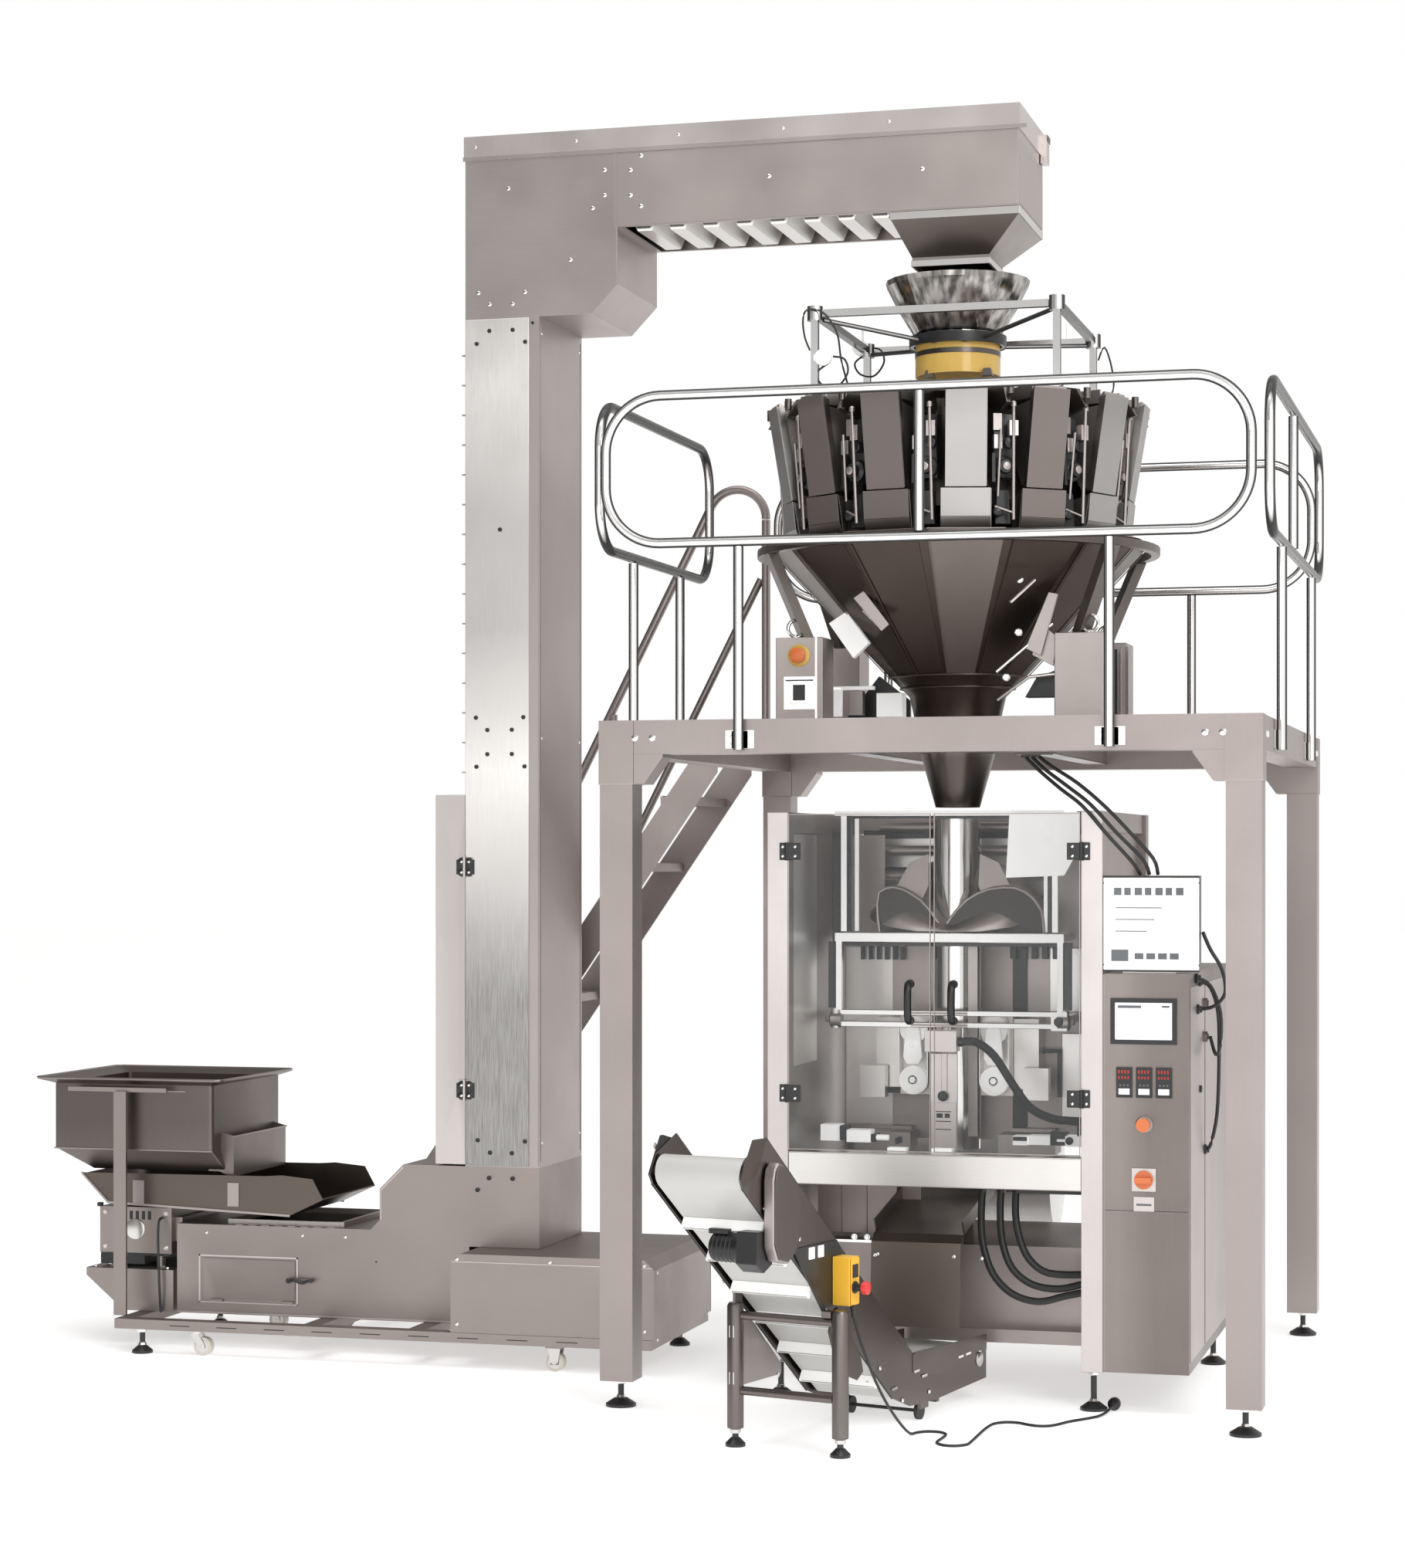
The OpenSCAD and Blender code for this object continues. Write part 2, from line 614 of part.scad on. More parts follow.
module bagger_frame() {
  x0 = bx0;
  x1 = bx1;
  w = post_w;
  color([0.56, 0.53, 0.52]) place() {
    for (y = [by0, by1 - w]) {
      block([x0, y, 115], [x0 + w, y + w, frame_h]);
      block([x1 - w + 2, y, 115], [x1, y + w, frame_h]);
    }
    block([x0 + w + gap, 262, sill_z0], [x1 - w + 2 - gap, 330, sill_z1]);
    block([x0 + w + gap, by1 - w, frame_h - 60], [x1 - w + 2 - gap, by1 - 5, frame_h]);
    for (x = [x0 + 10, x1 - 50]) {
      block([x, by0 + w + gap, frame_h - 60], [x + 40, by1 - w - gap, frame_h]);
      block([x, by0 + w + gap, 150], [x + 40, by1 - w - gap, 200]);
      block([x + 18, by0 + w + gap, 200 + gap], [x + 22, by1 - w - gap, frame_h - 60 - gap]);
    }
    difference() {
      block([x0 + w + gap, 1040, sill_z1 - 20], [x1 - w - gap, 1044, 1690]);
      block([wx - 260, 1039, 1345], [wx + 260, 1045, 1691]);
    }
    block([x0 + w + gap, 560, 150], [x1 - w - gap, 1220, 440]);
    block([x0 + w + gap, 490, 156], [x1 - w - gap, 496, 196]);
    block([x0 + w + gap, by1 - 40, 530], [x1 - w - gap, by1, 590]);
    for (s = [-1, 1]) block([wx + s * 336 - 5, by1 + gap, 540], [wx + s * 336 + 5, 1500, 580]);
    for (s = [-1, 1]) {
      block([wx + s * 230 - 90, 860, 690], [wx + s * 230 + 90, 980, 750]);
      disc_x([920, 650], 16, wx + s * 230 - 60, wx + s * 230 + 60);
      block([wx + s * 230 - 70, 981, 600], [wx + s * 230 + 70, 1039, 760]);
    }
    for (z = [913, 1636]) {
      block([x0 + w - 24, by0 - 7, z - 26], [x0 + w - 1, by0, z + 26]);
      block([x1 - w + 3, by0 - 7, z - 26], [x1 - w + 26, by0, z + 26]);
    }
  }
}

module control_cabinet() {
  color([0.54, 0.51, 0.5]) place() {
    block([cab_x0, by0, 118], [cab_x1, by1, 1277]);
    for (y = [320, 700]) block([cab_x0 + 60, y, 1277 + gap], [cab_x0 + 100, y + 40, 1286]);
    disc_x([620, 1180], 16, cab_x1, cab_x1 + 14);
    disc_x([620, 1080], 16, cab_x1, cab_x1 + 14);
  }
}

module panel_fittings() {
  color([0.1, 0.1, 0.11]) place() {
    block([1411, by0 - 8, 1075], [1603, by0 - gap, 1209]);
    for (k = [0 : 2])
      block([1428 + 57.5 * k, by0 - 9, 920], [1474 + 57.5 * k, by0 - gap, 1008]);
    difference() {
      disc_y([1508, 842], 24, by0 - 8, by0 - gap);
      disc_y([1508, 842], 9, by0 - 9, by0 - 3);
    }
    block([1473, by0 - 5, 648], [1543, by0 - gap, 715]);
  }
}

module stop_button() {
  color([0.85, 0.35, 0.2]) place() {
    disc_y([1508, 842], 20, by0 - 30, by0 - 15);
    disc_y([1508, 842], 8.5, by0 - 15, by0 - 10);
  }
}

module power_switch() {
  color([0.75, 0.3, 0.15]) place() {
    disc_y([1508, 682], 27, by0 - 15, by0 - 5 - gap);
    block([1484, by0 - 34, 674], [1532, by0 - 15, 690]);
  }
}

module weigher_display() {
  color([0.92, 0.92, 0.9]) place() {
    block([1389, by0, 1290], [1668, by0 + 50, 1565]);
    block([1470, by0 + 50 + gap, 1287], [1560, by0 + 130, 1420]);
  }
}

module forming_tube() {
  color([0.72, 0.7, 0.69]) place()
    turned(wx, wy, [[tube_r - 2.5, 1743], [tube_r, 1743], [tube_r, 700], [tube_r - 2.5, 700]]);
}

module forming_collar() {
  color([0.35, 0.33, 0.33]) place() difference() {
    union() {
      translate([wx, wy, 1384]) cylinder(r1 = 240, r2 = 118, h = 206);
      prism_x([[1000, 1386], [1180, 1386], [1180, 1396], [1000, 1640]], wx - 230, wx + 230);
    }
    translate([wx, wy, 1350]) cylinder(r = tube_r + 1.5, h = 300);
    translate([wx, wy, 1383]) cylinder(r1 = 236, r2 = 100, h = 202);
  }
}

// Clear door of width w, hinged on its left edge at the origin, handle at its free edge.
module door(w) {
  block([4, 2, door_z0], [w, 8, door_z1]);
  for (z = [913, 1636]) {
    translate([0, 0, z - 27]) cylinder(r = 4.5, h = 54);
    block([0, 0, z - 22], [42, 1.9, z + 22]);
  }
  for (z = [1136, 1244]) block([w - 68, -34, z - 8], [w - 52, 1.9, z + 8]);
  block([w - 70, -48, 1126], [w - 50, -34.1, 1256]);
}

module left_door() {
  color([0.85, 0.88, 0.9, 0.3]) place()
    translate([bx0 + post_w - 2, by0 - 13, 0]) door(436);
}

module right_door() {
  color([0.85, 0.88, 0.9, 0.3]) place()
    translate([bx1 - post_w + 4, by0 - 13, 0]) mirror([1, 0, 0]) door(438);
}

pull_x = 128.5;
pull_z0 = 918;
pull_z1 = 1076;

// Belt round two pulleys, r inside.
module pull_loop(x, r, t) {
  outer = concat([for (a = [0 : 10 : 180]) [x + (r + t) * cos(a), pull_z1 + (r + t) * sin(a)]],
    [for (a = [180 : 10 : 360]) [x + (r + t) * cos(a), pull_z0 + (r + t) * sin(a)]]);
  inner = concat([for (a = [0 : 10 : 180]) [x + r * cos(a), pull_z1 + r * sin(a)]],
    [for (a = [180 : 10 : 360]) [x + r * cos(a), pull_z0 + r * sin(a)]]);
  difference() {
    prism_y(outer, 850, 900);
    prism_y(inner, 849, 901);
  }
}

module pull_belts() {
  color([0.8, 0.79, 0.77]) place() {
    for (s = [-1, 1]) {
      pull_loop(wx + s * pull_x, 44, 3);
      disc_y([wx + s * pull_x, pull_z1], 43, 851, 899);
      block([wx + s * pull_x - 40, 902, 880], [wx + s * pull_x + 40, 912, 1130]);
      block([wx + s * 260 - 40, 852, 860], [wx + s * 260 + 40, 900, 960]);
      block([wx + s * 210 - 50, 912 + gap, 890], [wx + s * 210 + 50, 1038, 1110]);
      block([wx + s * 334 - 9, 771, 1386], [wx + s * 334 + 9, 789, 1748]);
      block([wx + s * 350 - 9, 771, 1139], [wx + s * 350 + 9, 789, 1354]);
    }
    block([wx - 360, 768, 1355], [wx + 360, 792, 1380]);
    block([wx - 345, 768, 1749], [wx + 345, 792, 1762]);
    for (z = [1089, 1126]) block([wx - 345, 772, z], [wx + 345, 788, z + 12]);
    for (s = [-1, 1]) {
      translate([wx + s * 362, 780, 1082]) cylinder(r = 15, h = 62);
      block([wx + s * 362 - 10, 796, 1100], [wx + s * 362 + 10, 1038, 1126]);
      block([wx + s * 345 - 8, 793, 1358], [wx + s * 345 + 8, 1038, 1376]);
      block([wx + s * 330 - 8, 793, 1749], [wx + s * 330 + 8, 1224, 1757]);
    }
  }
}

module pulley_at(x) {
  color([0.95, 0.94, 0.92]) place() disc_y([x, pull_z0], 43, 844, 899);
}

module left_pulley() {
  pulley_at(wx - pull_x);
}

module right_pulley() {
  pulley_at(wx + pull_x);
}

module vertical_sealer() {
  color([0.6, 0.57, 0.56]) place() {
    block([wx - 49, 640, 1020], [wx + 49, 700, 1084]);
    block([wx - 12, 700 + gap, 1030], [wx + 12, 822, 1060]);
    block([wx - 12, 822 + gap, 790], [wx + 12, 846, 1070]);
    block([wx - 44, 700 + gap, 700], [wx + 40, 706, 1010]);
    block([wx - 8, 706 + gap, 860], [wx + 8, 822, 890]);
  }
}

module front_jaw() {
  color([0.62, 0.6, 0.58]) place() {
    block([wx - 130, 820, 622], [wx + 130, 875, 668]);
    block([wx - 120, 875 + gap, 634], [wx + 120, 885, 656]);
  }
}

module rear_jaw() {
  color([0.62, 0.6, 0.58]) place() {
    block([wx - 130, 975, 622], [wx + 130, 1028, 668]);
    block([wx - 120, 965, 634], [wx + 120, 975 - gap, 656]);
  }
}

module bag_chute() {
  color([0.4, 0.37, 0.36]) place() {
    prism_x([[1020, 602], [300, 500], [262, 478], [240, 230], [244, 230], [266, 476],
      [302, 496], [1020, 598]], wx - 135, wx + 135);
    for (s = [-1, 1]) prism_x([[1020, 640], [1020, 602 + gap], [320, 503], [290, 540]],
      wx + s * 133 - 2, wx + s * 133 + 2);
    for (s = [-1, 1]) block([wx + s * 100 - 15, 570, 440 + gap], [wx + s * 100 + 15, 600, 530]);
  }
}

module film_roll() {
  color([0.9, 0.9, 0.88]) place() {
    disc_x([1480, 560], 170, wx - 230, wx + 230);
    disc_x([1480, 560], 18, wx - 330.5, wx - 230);
    disc_x([1480, 560], 18, wx + 230, wx + 330.5);
  }
}

// ---- cables ----

hose_sealer = [[886, 668, 1050], [940, 660, 1050], [1000, 640, 1010], [1060, 610, 930],
  [1120, 580, 860], [1190, 550, 830], [1260, 530, 825], [1325, 520, 825]];
hose_sill = [[[1010, 400, 640], [1005, 395, 560], [1010, 390, 470], [1040, 385, 380],
    [1100, 380, 320], [1180, 375, 300], [1260, 370, 320], [1322, 365, 335]],
  [[1065, 400, 640], [1062, 395, 560], [1070, 390, 470], [1100, 385, 395],
    [1160, 380, 350], [1240, 375, 340], [1322, 370, 360]],
  [[1110, 400, 640], [1108, 395, 560], [1120, 390, 490], [1150, 385, 425],
    [1210, 380, 385], [1322, 375, 385]]];
cable_deck = [[[1150, 300, 1918], [1195, 288, 1875], [1262, 265, 1820], [1330, 250, 1768],
    [1398, 246, 1690], [1470, 255, 1610], [1496, 280, 1569]],
  [[1170, 300, 1918], [1210, 285, 1880], [1284, 265, 1826], [1354, 250, 1772],
    [1430, 246, 1690], [1505, 258, 1612], [1521, 280, 1569]],
  [[1190, 300, 1918], [1235, 285, 1885], [1314, 262, 1835], [1394, 250, 1768],
    [1470, 246, 1690], [1535, 258, 1615], [1546, 280, 1569]]];
cable_side = [[[1645, 500, 1250], [1672, 520, 1230], [1690, 560, 1150], [1690, 580, 1000],
    [1682, 600, 850], [1662, 620, 760], [1647, 640, 740]],
  [[1645, 420, 1262], [1680, 440, 1240], [1705, 480, 1160], [1700, 520, 1060],
    [1680, 580, 1030], [1660, 620, 1080]],
  [[1674, 300, 1400], [1692, 330, 1350], [1720, 380, 1290], [1725, 420, 1220],
    [1690, 440, 1180], [1646, 450, 1170]]];
cable_feeder = [[-1813, 725, 420], [-1812, 700, 410], [-1808, 685, 360], [-1803, 680, 260],
  [-1800, 680, 180], [-1800, 690, 113]];
cable_sensor = [[[442, 550, 3180], [428, 540, 3220], [425, 528, 3270], [440, 520, 3300],
    [490, 520, 3290], [528, 545, 3230], [535, 575, 3150], [550, 620, 3066]],
  [[1224, 1300, 3230], [1246, 1290, 3270], [1272, 1270, 3200], [1280, 1240, 3120],
    [1240, 1200, 3066]]];

module cables() {
  color([0.06, 0.06, 0.06]) place() {
    swept(smooth(hose_sealer, 4), 26, 10);
    for (p = hose_sill) swept(smooth(p, 4), 22, 10);
    for (p = cable_deck) swept(smooth(p, 4), 11, 8);
    for (p = cable_side) swept(smooth(p, 4), 11, 8);
    swept(smooth(cable_feeder, 4), 9, 8);
    for (p = cable_sensor) swept(smooth(p, 4), 6, 8);
  }
}

// ---- conveyor ----

// Places a piece in the conveyor's frame.
module conveyor() {
  place() translate([cx, cy, 0]) rotate([0, 0, -conveyor_turn]) children();
}

head = [-405, 792];
knee = [470, 128];
tail = [975, 128];

// Outline of the belt's inner or outer face, d away from the drum centres.
function arc(c, r, a0, a1) = [for (k = [0 : 8]) let (a = a0 + (a1 - a0) * k / 8)
  [c[0] + r * cos(a), c[1] + r * sin(a)]];
slope_a = atan2(head[1] - knee[1], head[0] - knee[0]);
function belt_line(r) = concat(arc(head, r, slope_a - 90, slope_a + 90), arc(knee, r, 270 - 37, 270),
  arc(tail, r, 270, 450), arc([knee[0] + r * 0.7, knee[1] + r], 0.5, 100, 90));

module conveyor_frame() {
  outline = concat(side_low, side_top);
  color([0.36, 0.34, 0.33]) conveyor() {
    for (x = [-165, 108]) prism_x(outline, x, x + 4);
    for (s = [-1, 1]) block([s * 163 - 23, -23, 50], [s * 163 + 23, 23, 395]);
    block([-160, -20, 395 + gap], [-152, 20, 430]);
    block([112 + gap, -20, 372], [140 - gap, 20, 394]);
    block([-140 + gap, -15, 143], [140 - gap, 15, 165]);
    block([-140 + gap, -15, 350], [140 - gap, 15, 372]);
    prism_x([[23 + gap, 166], [270, 166], [270, 190], [120, 320], [23 + gap, 396]], -172, -168);
    block([-160.7, 600, 34], [-140, 650, 70]);
    block([96, 600, 34], [107.7, 650, 70]);
    block([-160, 700, 40], [107, 720, 49]);
  }
}

module conveyor_belt() {
  color([0.9, 0.89, 0.87]) conveyor() {
    difference() {
      prism_x(belt_line(drum_r + 4), -150, 104);
      prism_x(belt_line(drum_r + 0.8), -151, 105);
    }
    u = [cos(slope_a), sin(slope_a)];
    n = [-u[1], u[0]];
    for (k = [0 : 5]) {
      c = knee + u * (110 + 165 * k) + n * (drum_r + 4.2);
      prism_x([c, c + u * 4, c + u * 4 + n * 34, c + n * 34], -140, 94);
      e = knee + u * (190 + 165 * k) - n * (drum_r + 4.2);
      prism_x([e, e + u * 4, e + u * 4 - n * 34, e - n * 34], -140, 94);
    }
  }
}

module conveyor_drum() {
  color([0.6, 0.58, 0.56]) conveyor() {
    disc_x(head, drum_r, -150, 104);
    disc_x(head, 10, -160, -150);
    disc_x(head, 10, 104, 107.7);
  }
}

module conveyor_motor() {
  color([0.15, 0.15, 0.15]) conveyor() {
    disc_x([-372, 590], 38, -40, 100);
    block([100 + gap, -410, 545], [165, -330, 640]);
    prism_x([[-470, 720], [-455, 850], [-405, 880], [-330, 830], [-290, 700], [-300, 640 + gap],
      [-400, 640 + gap]], 113, 165);
  }
}

module switch_box() {
  color([0.9, 0.6, 0.1]) conveyor() {
    prism_x([[-158, 577], [-158, 555], [8, 398], [95, 398], [95, 540], [70, 577]], 113, 117);
    prism_x([[-20, 535], [70, 535], [88, 515], [88, 400], [-20, 400]], 117 + gap, 190);
    difference() {
      disc_x([62, 452], 14, 190, 196);
      disc_x([62, 452], 9.5, 190.2, 197);
    }
  }
}

module conveyor_stop_button() {
  color([0.8, 0.12, 0.12]) conveyor() {
    disc_x([62, 452], 18, 202, 214);
    disc_x([62, 452], 9, 196, 202);
  }
}

module conveyor_wheels() {
  color([0.1, 0.1, 0.1]) conveyor() {
    for (x = [-138, 83]) disc_x([625, 25], 25, x, x + 12);
    disc_x([625, 25], 5, -126, 84);
  }
}

module conveyor_cord() {
  path = [for (p = smooth(cord_points, 2)) [p[0], p[1], max(p[2], 4)]];
  color([0.05, 0.05, 0.05]) place() swept(path, 8, 8);
}

cord_points = [[826, -558, 399.7], [828, -556, 372], [837, -543, 325], [850, -515, 265],
  [864, -474, 200], [879, -424, 138], [895, -370, 84], [909, -318, 42], [920, -280, 16],
  [926, -249, 5], [935, -219, 4], [959, -196, 4], [992, -196, 4], [1015, -219, 4],
  [1020, -254, 4], [1018, -296, 4], [1016, -336, 4], [1020, -366, 4], [1044, -390, 4],
  [1077, -390, 4], [1101, -366, 4], [1106, -334, 4], [1107, -250, 4], [1108, -130, 4],
  [1113, -52, 4], [1123, -17, 4], [1147, 7, 4], [1180, 8, 4], [1204, -8, 4], [1226, -22, 4],
  [1251, -28, 4], [1276, -18, 4], [1295, 10, 4], [1322, 68, 4], [1355, 116, 4], [1385, 166, 4],
  [1404, 214, 9], [1413, 258, 16.8], [1415, 284.7, 19]];

module conveyor_plug() {
  color([0.05, 0.05, 0.05]) place() {
    disc_y([1415, 19], 19, 285 + gap, 318);
    disc_y([1415, 19], 15, 318, 330);
    for (s = [-1, 1]) disc_y([1415 + s * 8, 19], 2.4, 330, 348);
  }
}

// ---- feet ----

module foot(h, r) {
  rotate_extrude() polygon([[0, 0], [r, 0], [r, 8], [r * 0.45, 24], [0, 24]]);
  translate([0, 0, 24 + gap]) cylinder(r = 9, h = h - 24 - 2 * gap);
}

module levelling_feet() {
  color([0.08, 0.08, 0.08]) {
    place() for (f = foot_list) translate([f[0], f[1], 0]) foot(f[2], f[3]);
    conveyor() for (s = [-1, 1]) translate([s * 163, 0, 0]) foot(50, 28);
  }
}

elevator_base();
elevator_lower_housing();
trough_hatch();
elevator_column();
column_door();
elevator_head();
head_lid();
elevator_chute();
bucket_chain();
gearmotor();
caster_fork_front();
caster_fork_back();
caster_wheel_1();
caster_wheel_2();
caster_wheel_3();
caster_wheel_4();
feeder_hopper();
feeder_tray();
feeder_drive();
platform_frame();
platform_deck();
guardrails();
stairs();
weigher_body();
feed_hoppers();
weigh_hoppers();
collecting_chute();
discharge_funnel();
infeed_funnel();
infeed_sleeve();
sensor_frame();
bagger_frame();
control_cabinet();
panel_fittings();
stop_button();
power_switch();
weigher_display();
forming_tube();
forming_collar();
left_door();
right_door();
pull_belts();
left_pulley();
right_pulley();
vertical_sealer();
front_jaw();
rear_jaw();
bag_chute();
film_roll();
cables();
conveyor_frame();
conveyor_belt();
conveyor_drum();
conveyor_motor();
switch_box();
conveyor_stop_button();
conveyor_wheels();
conveyor_cord();
conveyor_plug();
levelling_feet();
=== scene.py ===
"""Looks of the packing line: finishes, sheet metal and machine details, cord, light and camera.

Lengths are millimetres from the centre of the platform's front left leg, as in the part's
source: X to the right, Y away from the operator, Z up. PLACE turns them into the frame's metres.
"""
import math

import bmesh
import bpy
from mathutils import Matrix, Vector


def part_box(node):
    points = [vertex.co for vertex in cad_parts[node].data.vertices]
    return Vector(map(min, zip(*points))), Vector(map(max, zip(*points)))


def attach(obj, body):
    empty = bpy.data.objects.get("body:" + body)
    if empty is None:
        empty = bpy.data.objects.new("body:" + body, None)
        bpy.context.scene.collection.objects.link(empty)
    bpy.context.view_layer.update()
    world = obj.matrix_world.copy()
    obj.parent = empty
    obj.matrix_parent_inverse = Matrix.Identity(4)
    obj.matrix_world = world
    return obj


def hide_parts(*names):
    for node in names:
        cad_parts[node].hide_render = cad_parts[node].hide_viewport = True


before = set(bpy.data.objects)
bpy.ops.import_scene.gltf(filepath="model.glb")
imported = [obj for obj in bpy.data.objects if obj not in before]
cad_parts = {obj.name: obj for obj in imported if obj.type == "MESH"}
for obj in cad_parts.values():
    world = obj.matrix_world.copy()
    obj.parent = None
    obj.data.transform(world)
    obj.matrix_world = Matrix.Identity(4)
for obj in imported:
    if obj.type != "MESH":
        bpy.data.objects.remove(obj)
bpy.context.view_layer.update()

MM = 0.001
CAP_HALF = 53  # half the width of the cap on a platform leg
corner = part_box("platform_frame")[0]
LEG = Matrix.Translation((corner[0] + CAP_HALF * MM, corner[1] + CAP_HALF * MM, 0))
PLACE = LEG @ Matrix.Scale(MM, 4)
CONVEYOR = PLACE @ Matrix.Translation((646, -571, 0)) @ Matrix.Rotation(math.radians(-15), 4, "Z")
WX, WY = 833, 925  # axis of the weigher and of the forming tube
HEADS = 14
FIRST_HEAD = -76.8  # direction of head 0 in degrees, roughly towards the camera
FRONT = 700  # front face of the elevator
BX0, BX1, BY0 = 380, 1388, 260  # bag maker: outsides of the uprights, front face
WEIGHER = PLACE @ Matrix.Translation((WX, WY, 0))


# ---- finishes ----

def node(tree, kind, **inputs):
    """A shader node with some of its inputs or properties set."""
    made = tree.nodes.new(kind)
    for key, value in inputs.items():
        if key in made.inputs:
            made.inputs[key].default_value = value
        else:
            setattr(made, key, value)
    return made


def ramp(tree, source, low, high, low_to=0.0, high_to=1.0):
    """Maps a value from low..high to low_to..high_to."""
    made = node(tree, "ShaderNodeMapRange")
    for index, value in enumerate((low, high, low_to, high_to), start=1):
        made.inputs[index].default_value = value
    tree.links.new(source, made.inputs[0])
    return made.outputs[0]


def tint(tree, factor, a, b):
    """Colour between a and b."""
    made = node(tree, "ShaderNodeMix", data_type="RGBA")
    for socket, value in ((6, a), (7, b)):
        if isinstance(value, tuple):
            made.inputs[socket].default_value = (*value, 1)
        else:
            tree.links.new(value, made.inputs[socket])
    tree.links.new(factor, made.inputs[0])
    return made.outputs[2]


def finish(name, colour, metallic=0.0, rough=0.4, spread=0.06, grain=(300, 300, 300), bump=0.05,
           wear=0.0, smudge=0.08, bands=None, edge=0.0, streak=0.35, glow=0.0, **shader):
    """A surface with clouded colour, grain, smudges in its gloss and worn edges.

    grain is the noise's scale along X, Y and Z: a low number is the direction of brushing.
    bands are (height, tone) pairs of painted light and shade that the sheet's tone follows up its
    length.
    edge darkens what is seen at a low angle as painted shade, streak is how far the grain shows in the
    colour
    and glow is emitted light: a lit screen's own light, painted light on the white plastic, and the
    floor's even brightness.
    """
    made = bpy.data.materials.new(name)
    made.use_nodes = True
    tree = made.node_tree
    tree.nodes.clear()
    out = node(tree, "ShaderNodeOutputMaterial")
    bsdf = node(tree, "ShaderNodeBsdfPrincipled", Metallic=metallic, **shader)
    tree.links.new(bsdf.outputs[0], out.inputs[0])
    place = node(tree, "ShaderNodeTexCoord").outputs["Object"]

    cloud = node(tree, "ShaderNodeTexNoise", Scale=2.3, Detail=3.0)
    tree.links.new(place, cloud.inputs["Vector"])
    darker = tuple(c * (1 - spread) for c in colour)
    lighter = tuple(min(c * (1 + spread), 1) for c in colour)
    shade = tint(tree, ramp(tree, cloud.outputs["Fac"], 0.3, 0.7), darker, lighter)
    if bands:
        height = node(tree, "ShaderNodeSeparateXYZ")
        tree.links.new(place, height.inputs[0])
        tone = node(tree, "ShaderNodeValToRGB")
        tree.links.new(ramp(tree, height.outputs[2], bands[0][0], bands[-1][0]), tone.inputs[0])
        steps = tone.color_ramp.elements
        run = bands[-1][0] - bands[0][0]
        while len(steps) < len(bands):
            steps.new(0.5)
        for step, (z, value) in zip(steps, bands):
            step.position = (z - bands[0][0]) / run
            step.color = (value, value, value, 1)
        mixed = node(tree, "ShaderNodeMix", data_type="RGBA", blend_type="MULTIPLY")
        mixed.inputs[0].default_value = 1
        tree.links.new(shade, mixed.inputs[6])
        tree.links.new(tone.outputs[0], mixed.inputs[7])
        shade = mixed.outputs[2]

    lay = node(tree, "ShaderNodeMapping", Scale=grain)
    tree.links.new(place, lay.inputs["Vector"])
    hair = node(tree, "ShaderNodeTexNoise", Scale=1.0, Detail=2.0)
    tree.links.new(lay.outputs[0], hair.inputs["Vector"])
    fine = tint(tree, ramp(tree, hair.outputs["Fac"], 0.35, 0.65, 0, min(streak, 1)), shade,
                tuple(min(c * (1.12 + streak - 0.35), 1) for c in colour))
    if wear:
        worn = node(tree, "ShaderNodeNewGeometry").outputs["Pointiness"]
        fine = tint(tree, ramp(tree, worn, 0.52, 0.6, 0, wear), fine,
                    tuple(min(c * 1.6 + 0.05, 1) for c in colour))
    # Painted shade: darker and less metallic where the surface is seen at a low angle.
    if edge:
        facing = node(tree, "ShaderNodeLayerWeight", Blend=0.5).outputs["Facing"]
        fine = tint(tree, ramp(tree, facing, 0.1, 0.28, 0, edge), fine, (0.01, 0.01, 0.01))
        tree.links.new(ramp(tree, facing, 0.1, 0.28, metallic, 0), bsdf.inputs["Metallic"])
    tree.links.new(fine, bsdf.inputs["Base Color"])
    if glow:
        tree.links.new(fine, bsdf.inputs["Emission Color"])
        bsdf.inputs["Emission Strength"].default_value = glow

    stain = node(tree, "ShaderNodeTexNoise", Scale=4.0, Detail=4.0)
    tree.links.new(place, stain.inputs["Vector"])
    tree.links.new(ramp(tree, stain.outputs["Fac"], 0.3, 0.75, max(rough - smudge / 2, 0.02),
                        rough + smudge), bsdf.inputs["Roughness"])
    relief = node(tree, "ShaderNodeBump", Strength=bump, Distance=0.001)
    tree.links.new(hair.outputs["Fac"], relief.inputs["Height"])
    tree.links.new(relief.outputs[0], bsdf.inputs["Normal"])
    return made


